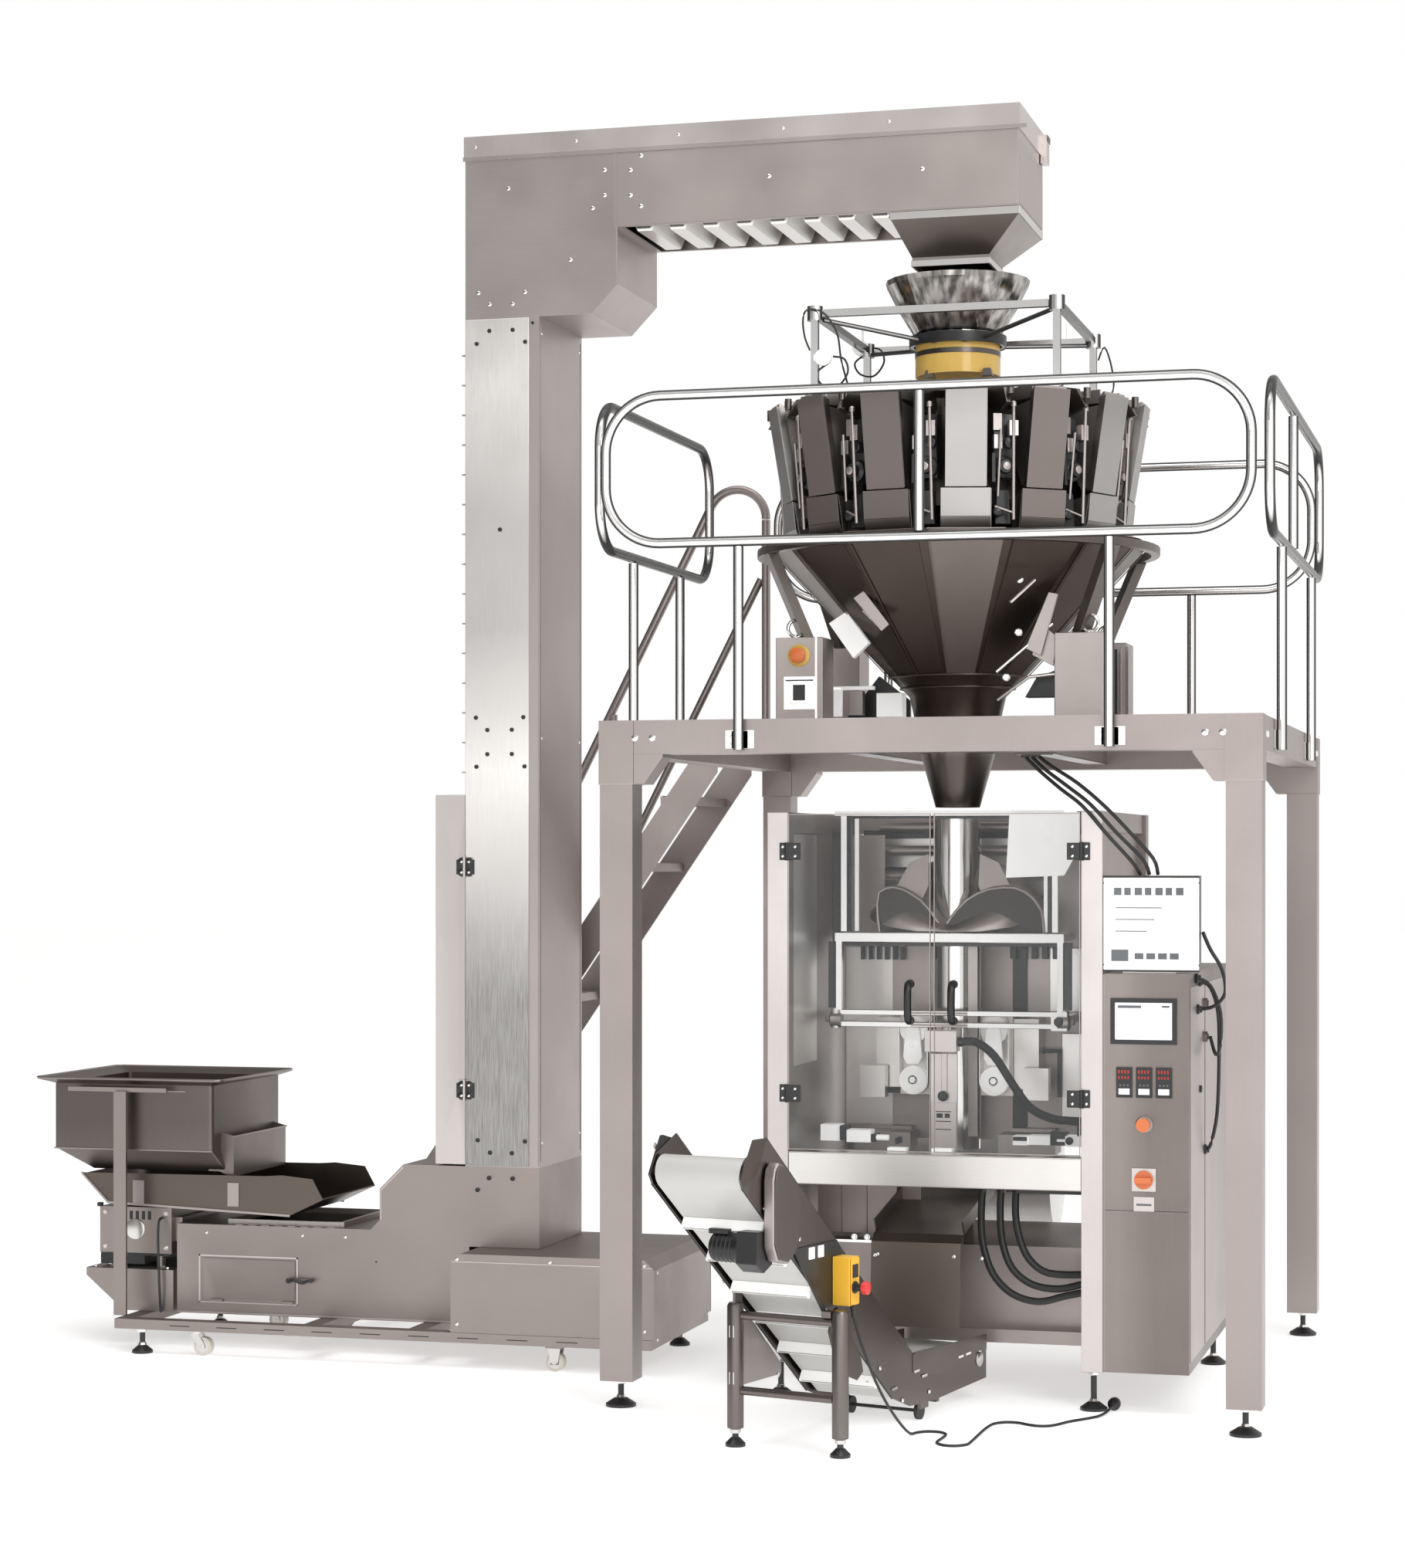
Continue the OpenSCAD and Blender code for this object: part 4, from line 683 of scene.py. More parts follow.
def platform():
    """Bolts, brackets, weld beads and foot nuts of the platform."""
    bolts = Kit()
    for x, z in ((58, 1968), (111, 1968), (1719, 1968), (1768, 1968)):
        bolts.screw((x, -50, z), (0, -1, 0), 11)
        bolts.screw((x, 2001, z), (0, 1, 0), 11)
    for y in (60, 112, 1840, 1890):
        bolts.screw((1876, y, 1968), (1, 0, 0), 11)
        bolts.screw((-50, y, 1968), (-1, 0, 0), 11)
    for x in (376, 1453):
        for z in (1948, 1972):
            for s in (-1, 1):
                bolts.bolt((x + s * 32, -54, z), (0, -1, 0), 6)
    for x, y, h in ((0, 0, 79), (1826, 0, 79), (0, 1951, 79), (1826, 1951, 79),
                    (412, 300, 115), (1356, 300, 115), (412, 1250, 115), (1600, 1250, 118),
                    (-1800, 550, 80), (-150, 550, 80), (-1800, 1170, 80), (-150, 1170, 80)):
        bolts.turned((x, y, h - 13), (0, 0, 1), [(0, 15), (1.5, 16.5), (11, 16.5), (12.5, 15)], 6)
        bolts.turned((x, y, 26), (0, 0, 1), [(0, 14), (8, 12)], 6)
    bolts.done("platform_bolts", "polished", bevel=0.4)

    plates = Kit()
    for x in (376, 1453):
        plates.box((x - 44, -54, 1934), (x + 44, -50.4, 1988))
    for y in (361, 886):
        plates.box((-54, y - 44, 1934), (-50.4, y + 44, 1988))
    for y in (358, 1424):
        plates.box((1876.4, y - 44, 1934), (1880, y + 44, 1988))
    plates.done("post_plates", "bright", bevel=0.8)

    beads = Kit()
    for x in (0, 1826):
        for y in (0, 1951):
            for s in (-1, 1):
                beads.rod((x - 53, y + s * 53, 1833), (x + 53, y + s * 53, 1833), 1.6, 6)
                beads.rod((x + s * 53, y - 53, 1833), (x + s * 53, y + 53, 1833), 1.6, 6)
    beads.done("weld_beads", "satin")

    under = Kit()
    for x in (560, 1106):
        under.box((x - 4, 52, 1936), (x + 64, 1898, 1940))
    under.box((1130, 260, 1920), (1230, 340, 1939))
    for x in (1150, 1170, 1190):
        under.turned((x, 300, 1912), (0, 0, 1), [(0, 8), (2, 10), (10, 10)], 6)
    under.done("deck_underside", "dark", bevel=1)

    nosing = Kit()
    slope = 1.455
    for k in range(1, 9):
        z = 225 * k
        x = -45 - (1912 - z) / slope
        nosing.box((x - 130, 1290, z + 16), (x - 122, 1730, z + 26))
        for j in range(5):
            nosing.box((x - 112 + 19 * j, 1300, z + 22), (x - 104 + 19 * j, 1720, z + 24))
    nosing.done("tread_ribs", "bright", bevel=0.8)
    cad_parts["platform_deck"].material_slots[0].material = TREAD


# ---- weigher ----

def head_angle(k):
    """Direction of weigh head k from the weigher's axis, in radians; k + 0.5 lies between two heads."""
    return math.radians(FIRST_HEAD + 360 / HEADS * k)


def heading(a):
    """The level unit vector in direction a."""
    return Vector((math.cos(a), math.sin(a), 0))


def level_ring(r, z, n):
    """A level circle round the place's own axis."""
    return circle(Vector((0, 0, z)), Vector((1, 0, 0)), Vector((0, 1, 0)), r, n)


def facet_ring(r, z):
    """A level polygon with a corner between each two heads."""
    return [Vector((r * math.cos(a), r * math.sin(a), z)) for a in
            (head_angle(k + 0.5) for k in range(HEADS))]


def weigher():
    """Hoppers, covers and drives of the heads, the cone of pans and the pedestals."""
    covers, left, right, bodies, works, rods, clips = (Kit(WEIGHER) for _ in range(7))
    for k in range(HEADS):
        one = Matrix.Rotation(head_angle(k), 4, "Z")
        # Heads 12, 13 and 1 take darker copies of the cover steel: painted shade on covers that are
        # alike.
        {13: left, 12: left, 1: right}.get(k, covers).part(one, head_covers)
        bodies.part(one, head_bodies)
        half = one @ Matrix.Rotation(math.radians(180 / HEADS), 4, "Z")
        works.part(half, head_works)
        rods.part(half, head_rods)
        clips.part(half, head_clips)
    covers.done("head_covers", "cover", bevel=0.8, replaces=["feed_hoppers", "weigh_hoppers"])
    left.done("head_covers_left_painted_shade", "hopper", bevel=0.8)
    right.done("head_cover_right_painted_shade", "cabinet", bevel=0.8)
    bodies.done("head_hoppers", "satin", bevel=1)
    works.done("head_drives", "black", bevel=1.5)
    rods.done("head_rods", "satin")
    clips.done("head_clips", "pale", bevel=1)

    body = Kit(WEIGHER)
    for x in (-435, 435):
        for y in (-260, 260):
            body.box((x - 75, y - 75, 2020.5), (x + 75, y + 75, 2300))
    body.done("weigher_pedestals", "satin", bevel=3, replaces=["weigher_body"])
    core = Kit(WEIGHER)
    core.loft([level_ring(r, z, 56) for r, z in
               ((606, 2562), (634, 2562), (634, 2588), (606, 2588))], loop=True)
    core.turned((0, 0, 2640), (0, 0, 1), [(0, 250), (60, 300), (390, 300), (400, 380),
                                          (412, 380)], 48)
    for x, y in ((-435, -260), (435, -260), (-435, 260), (435, 260)):
        r = Vector((x, y, 0)).normalized()
        t = Vector((-r.y, r.x, 0)) * 26
        low, high = r * 484 + Vector((0, 0, 2301)), r * 600 + Vector((0, 0, 2562))
        core.loft([[p - t, p + t, p + t + r * 34, p - t + r * 34] for p in (low, high)])
    core.done("weigher_core", "dark", bevel=1.5)

    top = Kit(WEIGHER)
    top.turned((0, 0, 3052), (0, 0, 1), [(0.5, 300), (8, 298), (40, 190), (62, 80), (68, 40)], 48)
    for k in range(HEADS):
        r = heading(head_angle(k + 0.5))
        rib = [r * reach + Vector((0, 0, z)) for reach, z in
               ((330, 3000), (420, 3060), (560, 3034), (600, 2975), (420, 2930))]
        top.loft([rib, [p + r.cross(Vector((0, 0, 1))) * 14 for p in rib]])
        top.rod(r * 592 + Vector((0, 0, 3000)), r * 592 + Vector((0, 0, 3034)), 11, 12)
    top.done("pan_covers", "dark", bevel=1.5)

    cone = Kit(WEIGHER)
    chute_facets(cone)
    cone.done("chute_shell", "brown", bevel=0.8, replaces=["collecting_chute"])
    # The panel on head 0's facet takes lighter steel than the others: painted light on a panel like the
    # rest.
    for name, look, chosen in (("chute_panels", "brown", range(1, HEADS)),
                               ("chute_front_panel_painted_light", "plate", (0,))):
        panels = Kit(WEIGHER)
        chute_panels(panels, chosen)
        panels.done(name, look, bevel=1)
    rims = Kit(WEIGHER)
    for z, r0 in ((2186, 216), (2150, 180)):
        rims.pipe(facet_ring(r0, z), 4, 8, loop=True)
    rims.done("chute_rings", "brown")

    pedestals()


def chute_facets(kit):
    """The collecting cone as one facet for each head, open at both ends."""
    kit.loft([facet_ring(r, z) for r, z in
              ((602, 2600), (212, 2186), (152, 2124), (124, 2000), (120, 2000), (147, 2126),
               (207, 2189), (597, 2600))], loop=True)


def chute_panels(kit, chosen):
    """A raised sheet on some facets, narrower than the facet, with its stiffening fold."""
    flat = math.cos(math.pi / HEADS)
    for k in chosen:
        a = head_angle(k)
        r, t = heading(a), Vector((-math.sin(a), math.cos(a), 0))
        top, low = r * 605 * flat + Vector((0, 0, 2599)), r * 217 * flat + Vector((0, 0, 2189))
        kit.sheet([low - t * 44, low + t * 44, top + t * 118, top - t * 118], -4)
        kit.sheet([low - t * 44 + r * 4, low - t * 41 + r * 4, top - t * 114 + r * 4,
                   top - t * 118 + r * 4], 3)


def head_covers(kit):
    """Tilted cover of the feed hopper and the cover of the weigh hopper under it."""
    kit.sheet([(597, -62, 3022), (548, -62, 2728), (548, 62, 2728), (597, 62, 3022)], 3)
    for s in (-1, 1):
        kit.sheet([(597, s * 61, 3020), (549, s * 61, 2730), (528, s * 60, 2736),
                   (572, s * 60, 3012)], 2.5)
        kit.sheet([(548, s * 75, 2722), (527, s * 75, 2606), (506, s * 73, 2612),
                   (522, s * 73, 2716)], 2.5)
    kit.sheet([(549, -75, 2724), (540, -75, 2640), (540, 75, 2640), (549, 75, 2724)], 3)
    kit.sheet([(540, -75, 2640), (526, -75, 2604), (526, 75, 2604), (540, 75, 2640)], 3)


def head_bodies(kit):
    """Feed hopper, weigh hopper and the linear pan of one head."""
    kit.prism("y", [(405, 2975), (570, 2992), (525, 2742), (500, 2738), (440, 2840)], -50, 50)
    kit.prism("y", [(430, 2700), (520, 2716), (508, 2612), (470, 2606), (436, 2660)], -62, 62)
    kit.prism("y", [(300, 3002), (565, 2996), (590, 3006), (590, 3030), (582, 3030),
                    (560, 3006), (300, 3012)], -54, 54)
    for s in (-1, 1):
        kit.box((300, s * 52 - 2, 3004), (572, s * 52 + 2, 3038))


def head_works(kit):
    """Stepper housing, cams and springs between two heads."""
    kit.prism("y", [(430, 2760), (500, 2760), (520, 2860), (510, 2950), (430, 2960)], -30, 30)
    kit.turned((498, 0, 2790), (1, 0, 0), [(0, 34), (30, 34), (38, 22), (52, 20)], 24)
    kit.turned((512, 14, 2862), (1, 0, 0), [(0, 18), (34, 18), (36, 14)], 20)
    kit.prism("x", [(-24, 2620), (24, 2620), (18, 2722), (-18, 2722)], 470, 512)
    kit.box((500, -42, 2742), (540, -30, 2830))
    kit.turned((520, -20, 2655), (1, 0, 0), [(0, 16), (14, 16), (18, 10)], 20)


def head_rods(kit):
    """Push rods and levers between two heads."""
    kit.rod((548, 22, 2630), (566, 18, 2968), 5)
    kit.rod((540, -24, 2700), (560, -20, 2900), 4)
    kit.rod((548, 22, 2650), (530, -30, 2670), 4)
    kit.turned((548, 0, 2790), (1, 0, 0), [(0, 12), (8, 12), (10, 8)], 20)
    kit.turned((566, 18, 2966), (0, 0, 1), [(0, 9), (12, 9), (16, 5)], 16)
    kit.prism("x", [(-34, 2900), (-8, 2900), (-8, 2950), (-34, 2950)], 520, 528)


def head_clips(kit):
    """Pale plastic blocks that guide the rods."""
    kit.box((536, 6, 2880), (562, 34, 2926))
    kit.box((528, -38, 2842), (548, -12, 2884))


def pedestals():
    """Fittings of the weigher's stand."""
    rings = Kit()
    for x, y in ((374, 650), (1292, 650), (398, 1185), (1268, 1185)):
        path = [(x + 26 * math.cos(a), y, 2332 + 26 * math.sin(a)) for a in
                (math.radians(15 * k) for k in range(24))]
        rings.pipe(path, 5.5, 10, loop=True)
        rings.turned((x, y, 2300), (0, 0, 1), [(0, 15), (5, 15), (7, 9), (10, 7)], 20)
    for x in (1196, 1226, 1256, 1286, 1316, 1340):
        rings.box((x, 1106, 2060), (x + 8, 1110, 2290))
    rings.box((449, 588, 2040), (455, 590, 2300))
    rings.done("eye_bolts", "polished")

    stop = Kit()
    stop.turned((397, 590, 2243), (0, -1, 0), [(0, 35), (3, 35), (5, 31)], 36)
    stop.done("stand_stop_ring", "brass")
    knob = Kit()
    knob.turned((397, 585, 2243), (0, -1, 0), [(0, 20), (12, 20), (14, 25), (22, 24), (26, 16)], 32)
    knob.done("stand_stop_knob", "orange", bevel=0.6)
    plate = Kit()
    plate.box((350, 584, 2076), (450, 590, 2178))
    plate.box((372, 576, 2096), (430, 584, 2160))
    plate.done("stand_switch_plate", "white", bevel=1.5)
    dark = Kit()
    dark.box((382, 574, 2104), (420, 576.5, 2152))
    dark.box((356, 583, 2164), (444, 584.5, 2168))
    for x in (1204, 1234, 1264, 1294):
        dark.box((x + 4, 1107, 2070), (x + 18, 1109.5, 2280))
    dark.done("stand_marks", "black", bevel=0.6)

    white = Kit()
    white.sheet([(474, 700, 2347), (552, 700, 2237), (602, 700, 2285), (530, 700, 2383)], 34)
    white.box((436, 880, 2066), (466, 900, 2160))
    white.box((436, 880, 2150), (572, 900, 2162))
    white.box((575, 900, 2064), (660, 960, 2140))
    white.done("stand_white_box", "white", bevel=2)

    pale = Kit()
    pale.sheet([(580, 560, 2414), (668, 560, 2310), (692, 560, 2331), (612, 560, 2436)], 16)
    pale.sheet([(1174, 600, 2424), (1202, 600, 2418), (1150, 600, 2231), (1103, 600, 2254)], 16)
    pale.sheet([(1148, 620, 2330), (1196, 620, 2290), (1186, 620, 2200), (1120, 620, 2235)], 10)
    pale.box((486, 900, 2070), (530, 940, 2148))
    pale.done("chute_brackets", "satin", bevel=1.5)

    fittings = Kit()
    for p, q in (((560, 640, 2452), (655, 600, 2352)), ((600, 600, 2380), (664, 570, 2320)),
                 ((1085, 440, 2382), (1145, 520, 2455)), ((1020, 560, 2180), (1180, 640, 2330)),
                 ((1010, 640, 2100), (1110, 620, 2168)), ((1110, 620, 2168), (1190, 620, 2176))):
        fittings.rod(p, q, 5)
    for x, z in ((561, 2494), (1094, 2460), (1052, 2164), (1090, 2300)):
        fittings.turned((x, 560, z), (0, -1, 0), [(0, 12), (12, 12), (15, 8)], 18)
    fittings.done("chute_fittings", "polished", bevel=0.5)

    valve = Kit()
    valve.prism("y", [(540, 2490), (575, 2515), (620, 2440), (590, 2405)], 600, 640)
    valve.prism("y", [(1085, 2110), (1200, 2110), (1200, 2200), (1120, 2170)], 700, 760)
    valve.prism("y", [(452, 2064), (560, 2200), (662, 2120), (662, 2064)], 1010, 1030)
    valve.done("stand_works", "black", bevel=2)


def funnel():
    """Faceted infeed funnel, the clamp ring of its sleeve and the sensors round it."""
    facets = 22
    kit = Kit(WEIGHER)
    rings = []
    for r, z in ((228, 3436), (224, 3420), (186, 3345), (152, 3290), (138, 3266), (138, 3252),
                 (134, 3252), (134, 3266), (148, 3290), (182, 3345), (220, 3420), (223, 3436)):
        rings.append([Vector((r * math.cos(a), r * math.sin(a), z)) for a in
                      (2 * math.pi * (k + 0.5) / facets for k in range(facets))])
    kit.loft(rings, loop=True)
    kit.done("funnel_facets", "funnel", angle=12, replaces=["infeed_funnel"])

    band = Kit(WEIGHER)
    for z0, z1, r in ((3238, 3256, 137), (3196, 3212, 135.5)):
        band.loft([level_ring(rr, z, 48) for z, rr in
                   ((z0, 131), (z0, r), (z1, r), (z1, 131))], loop=True)
    clamp = Kit(WEIGHER)
    clamp.loft([level_ring(r, z, 48) for r, z in
                ((151.2, 3228), (154, 3228), (154, 3262), (145, 3262), (145, 3250),
                 (151.2, 3250))], loop=True)
    clamp.done("funnel_clamp", "black", bevel=1)
    band.box((-60, -140, 3226), (-44, -132, 3262))
    band.box((40, -140, 3226), (56, -132, 3262))
    for x in (-88, 96):
        band.prism("y", [(x, 3122), (x + 34, 3122), (x + 28, 3146), (x + 6, 3146)], -112, -90)
    band.done("sleeve_bands", "dark", bevel=0.8)

    eyes, loops = Kit(), Kit()
    for x, y, z in ((486, 545, 3156), (440, 1290, 3300)):
        eyes.turned((x, y - 14, z), (0, 1, 0), [(0, 20), (4, 26), (22, 26), (28, 18)], 28)
        eyes.box((x - 30, y - 8, z - 9), (x - 12, y + 6, z + 9))
        loops.pipe(smooth([(x + 12, y, z - 20), (x - 22, y, z - 48), (x - 4, y, z - 84),
                           (x + 42, y, z - 92), (x + 76, y, z - 50), (x + 66, y, z - 8),
                           (x + 30, y, z + 2)], 5), 3.2, 8)
    for x, y in ((WX - 214, 550), (WX + 290, 1300), (WX - 375, 1230)):
        eyes.rod((x, y, 3300), (x, y, 3352), 3.5)
    eyes.done("level_eyes", "white", bevel=1)
    loops.done("eye_loops", "rubber")


# ---- bag maker ----

def bagger():
    """Bright sheets, carriage, former, pull drive and sealers of the bag maker."""
    sill = Kit()
    sill.box((446, 259, 644), (1324, 262, 736))
    sill.box((446, 259, 736), (1324, 330, 738.6))
    sill.done("sill_front", "bright", bevel=1.2)
    # A skin of paler steel on the uprights' front faces: painted light on the side facing the front.
    posts = Kit()
    for x in (BX0, BX1 - 64):
        posts.box((x + 1, 258.6, 116), (x + 63, BY0, 1752))
    posts.done("upright_faces_painted_light", "pale", bevel=1)

    low_sheets = Kit()
    low_sheets.box((446, 640, 455), (696, 644, 640))
    low_sheets.box((446, 700, 455), (760, 704, 640))
    low_sheets.box((520, 636, 455), (523, 640, 640))
    low_sheets.box((600, 636, 455), (603, 640, 640))
    low_sheets.done("lower_sheets", "housing", bevel=1)
    sheets = Kit()
    sheets.box((412.2, 340, 980), (414, 760, 1690))
    sheets.box((446, 1036, 760), (600, 1039.5, 1330))
    sheets.box((1110, 1030, 1130), (1320, 1036, 1330))
    sheets.box((1150, 1020, 770), (1322, 1026, 1060))
    sheets.box((446, 1210, 1350), (1322, 1218, 1690))
    sheets.done("inner_sheets", "bright", bevel=1)

    white = Kit()
    white.sheet([(1029, 742, 1753), (1018, 742, 1555), (1200, 742, 1562), (1248, 742, 1650),
                 (1248, 742, 1757)], -4)
    white.box((WX - 362, 765, 1749), (WX + 362, 768, 1763))
    white.box((WX - 362, 764, 1354), (WX + 362, 768, 1381))
    for s in (-1, 1):
        white.box((WX + s * 334 - 9, 767, 1386), (WX + s * 334 + 9, 771, 1748))
        white.box((WX + s * 350 - 9, 767, 1139), (WX + s * 350 + 9, 771, 1354))
        white.box((WX + s * 300 - 6, 800, 1386), (WX + s * 300 + 6, 812, 1745))
    for z in (1088, 1125):
        white.box((WX - 346, 768.5, z), (WX - 120, 772, z + 14))
        white.box((WX + 60, 768.5, z), (WX + 346, 772, z + 14))
    white.box((WX + 322, 764, 1082), (WX + 372, 768, 1140))
    white.done("carriage_faces", "white", bevel=1)

    black = Kit()
    # The upright dark bars beside the four white frame bars are painted shade.
    for s in (-1, 1):
        black.box((WX + s * 318 - 8, 774, 1386), (WX + s * 318 + 8, 786, 1748))
        black.box((WX + s * 372 - 13, 774, 1145), (WX + s * 372 + 13, 786, 1354))
    black.box((WX - 340, 774, 1341), (WX + 340, 784, 1353))
    black.box((WX - 308, 790, 1740), (WX + 308, 798, 1748))
    black.box((452, 815, 1278), (486, 829, 1700))
    for x0, x1, z0, z1 in ((560, 650, 1040, 1052), (560, 572, 880, 1052), (1035, 1150, 1000, 1012),
                           (1138, 1150, 860, 1012), (1035, 1047, 860, 1012)):
        black.box((x0, 996, z0), (x1, 1004, z1))
    black.box((1046, 1002, 905), (1090, 1010, 960))
    black.box((550, 940, 868), (660, 1000, 880))
    black.box((990, 1030, 742), (1036, 1038, 1330))
    black.box((1290, 1030, 760), (1322, 1038, 1320))
    for z in (1420, 1560, 1680):
        black.box((470, 1190, z), (1200, 1206, z + 26))
    for k in range(6):
        black.box((500 + k * 26, 1010, 1290), (514 + k * 26, 1030, 1332))
        black.box((985 + k * 34, 1010, 1296), (1004 + k * 34, 1030, 1338))
    black.turned((WX + 347, 762, 1110), (0, -1, 0), [(0, 15), (6, 15), (8, 10)], 20)
    black.turned((WX + 347, 762, 1118), (0, -1, 0), [(0, 8), (12, 8)], 20)
    black.box((1238, 748, 1700), (1262, 752, 1760))
    black.box((1150, 748, 1655), (1240, 750, 1661))
    black.done("bagger_works", "black", bevel=1)

    former()
    rollers = Kit()
    for y, z in ((1160, 1716), (1100, 1560), (1200, 1480), (1120, 1640)):
        rollers.rod((WX - 300, y, z), (WX + 300, y, z), 16, 28)
    for z in (1092, 1129):
        rollers.rod((WX - 350, 780, z + 3), (WX + 350, 780, z + 3), 8.6, 20)
    for s in (-1, 1):
        rollers.turned((WX + s * 362, 780, 1108), (s, 0, 0), [(-20, 24), (14, 24), (18, 19)], 28)
        rollers.turned((WX + s * 362, 780, 1108), (s, 0, 0), [(18, 10), (30, 10), (32, 7)], 6)
        rollers.rod((WX + s * 190, 900, 652), (WX + s * 190, 1040, 652), 12, 24)
    rollers.done("film_rollers", "satin", bevel=0.8)

    pulls()
    sealers()
    doors()


def former():
    """The forming shoulder: a collar whose lip climbs from the front of the tube to its back."""
    shell = Kit(WEIGHER)
    tube_r, steps = 75, 48
    rings = []
    for lift, reach in ((0, 0), (10, 6), (34, 30), (22, 70), (-30, 120), (-90, 158)):
        ring = []
        for k in range(steps + 1):
            a = math.pi * (2 * k / steps - 1)
            back = (1 - math.cos(a)) / 2
            lip = 1402 + 214 * back ** 0.72
            r = tube_r + reach * (0.55 + 0.75 * math.sin(math.pi * back) ** 0.8)
            drop = lift * (0.35 + 0.65 * math.sin(math.pi * min(back * 1.1, 1)))
            ring.append(Vector((r * math.sin(a), -r * math.cos(a),
                                max(lip + drop, 1388))))
        rings.append(ring)
    made = [[shell.bm.verts.new(p) for p in ring] for ring in rings]
    for a, b in zip(made, made[1:]):
        for i in range(steps):
            shell.bm.faces.new((a[i], a[i + 1], b[i + 1], b[i]))
    piece = shell.done("forming_shoulder", "satin", angle=60, replaces=["forming_collar"])
    thick = piece.modifiers.new("sheet", "SOLIDIFY")
    thick.thickness = 3 * MM
    thick.offset = 0

    hood_shade_sheets, lips, wings = Kit(), Kit(), Kit()
    floor_z = 1383
    for s, arch in ((1, [(822, 1412), (852, 1452), (884, 1484), (918, 1505), (954, 1519),
                         (1000, 1525), (1038, 1523), (1070, 1510), (1093, 1492), (1110, 1470),
                         (1121, 1451), (1126, 1415), (1128, 1384)]),
                    (-1, [(806, 1384), (796, 1412), (771, 1449), (740, 1483), (706, 1505),
                          (678, 1519), (651, 1525), (625, 1520), (606, 1508), (600, 1470),
                          (602, 1425), (608, 1384)])):
        inner = [(x, z - 3) for x, z in arch if z > floor_z + 4]
        # A flat near-black sheet fills each hood's arch: painted shade in the hollow under the hood.
        hood_shade_sheets.prism("y", [(inner[0][0], floor_z)] + inner + [(inner[-1][0], floor_z)], 800, 803)
        lips.pipe([(x, 797, z) for x, z in arch], 4.5, 10)
        for (xa, za), (xb, zb) in zip(arch, arch[1:]):
            lips.sheet([(xa, 797, za), (xb, 797, zb), (xb, 860, zb + 6), (xa, 860, za + 6)], 2.5)
        wings.sheet([(WX + s * 82, 862, 1630), (WX + s * 142, 862, 1602),
                     (WX + s * 180, 850, 1530), (WX + s * 96, 842, 1490),
                     (WX + s * 79, 852, 1530)], 3 * s)
    hood_shade_sheets.done("former_hood_shade_sheets", "shade", bevel=0.6)
    lips.done("former_lips", "satin", angle=30)
    wings.done("former_wings", "satin", bevel=0.8)


def pulls():
    """White pull wheels, belt covers and their brackets."""
    hubs_left, hubs_right = Kit(), Kit()
    for hub, x in ((hubs_left, 704.5), (hubs_right, 961.5)):
        hub.turned((x, 844.5, 918), (0, -1, 0), [(0, 40), (2, 40), (3, 37), (3, 18), (6, 16)], 36)
        hub.turned((x, 840, 918), (0, -1, 0), [(0, 11), (5, 11), (6.5, 9)], 6)
    hubs_left.done("left_hub", "white", "pulley_left")
    hubs_right.done("right_hub", "white", "pulley_right")
    for body, x in (("pulley_left", 704.5), ("pulley_right", 961.5)):
        dark = Kit()
        dark.turned((x, 839.2, 918), (0, -1, 0), [(0, 14), (1.2, 14)], 24)
        dark.done(f"{body}_marks", "black", body)

    cover = Kit()
    for s in (-1, 1):
        x = WX + s * 128.5
        cover.prism("y", [(x - 30, 990), (x - 22, 1078), (x, 1094), (x + 22, 1078),
                          (x + 30, 990), (x + 18, 968), (x - 18, 968)], 838, 849)
        cover.bolt((x, 838, 1030), (0, -1, 0), 10)
    cover.done("pull_covers", "white", bevel=2)
    frames = Kit()
    for s in (-1, 1):
        x = WX + s * 128.5
        frames.box((x - 52, 902, 868), (x + 52, 906, 1128))
        frames.rod((x, 900, 1076), (x, 935, 1076), 12)
    frames.done("pull_frames", "pale", bevel=1)


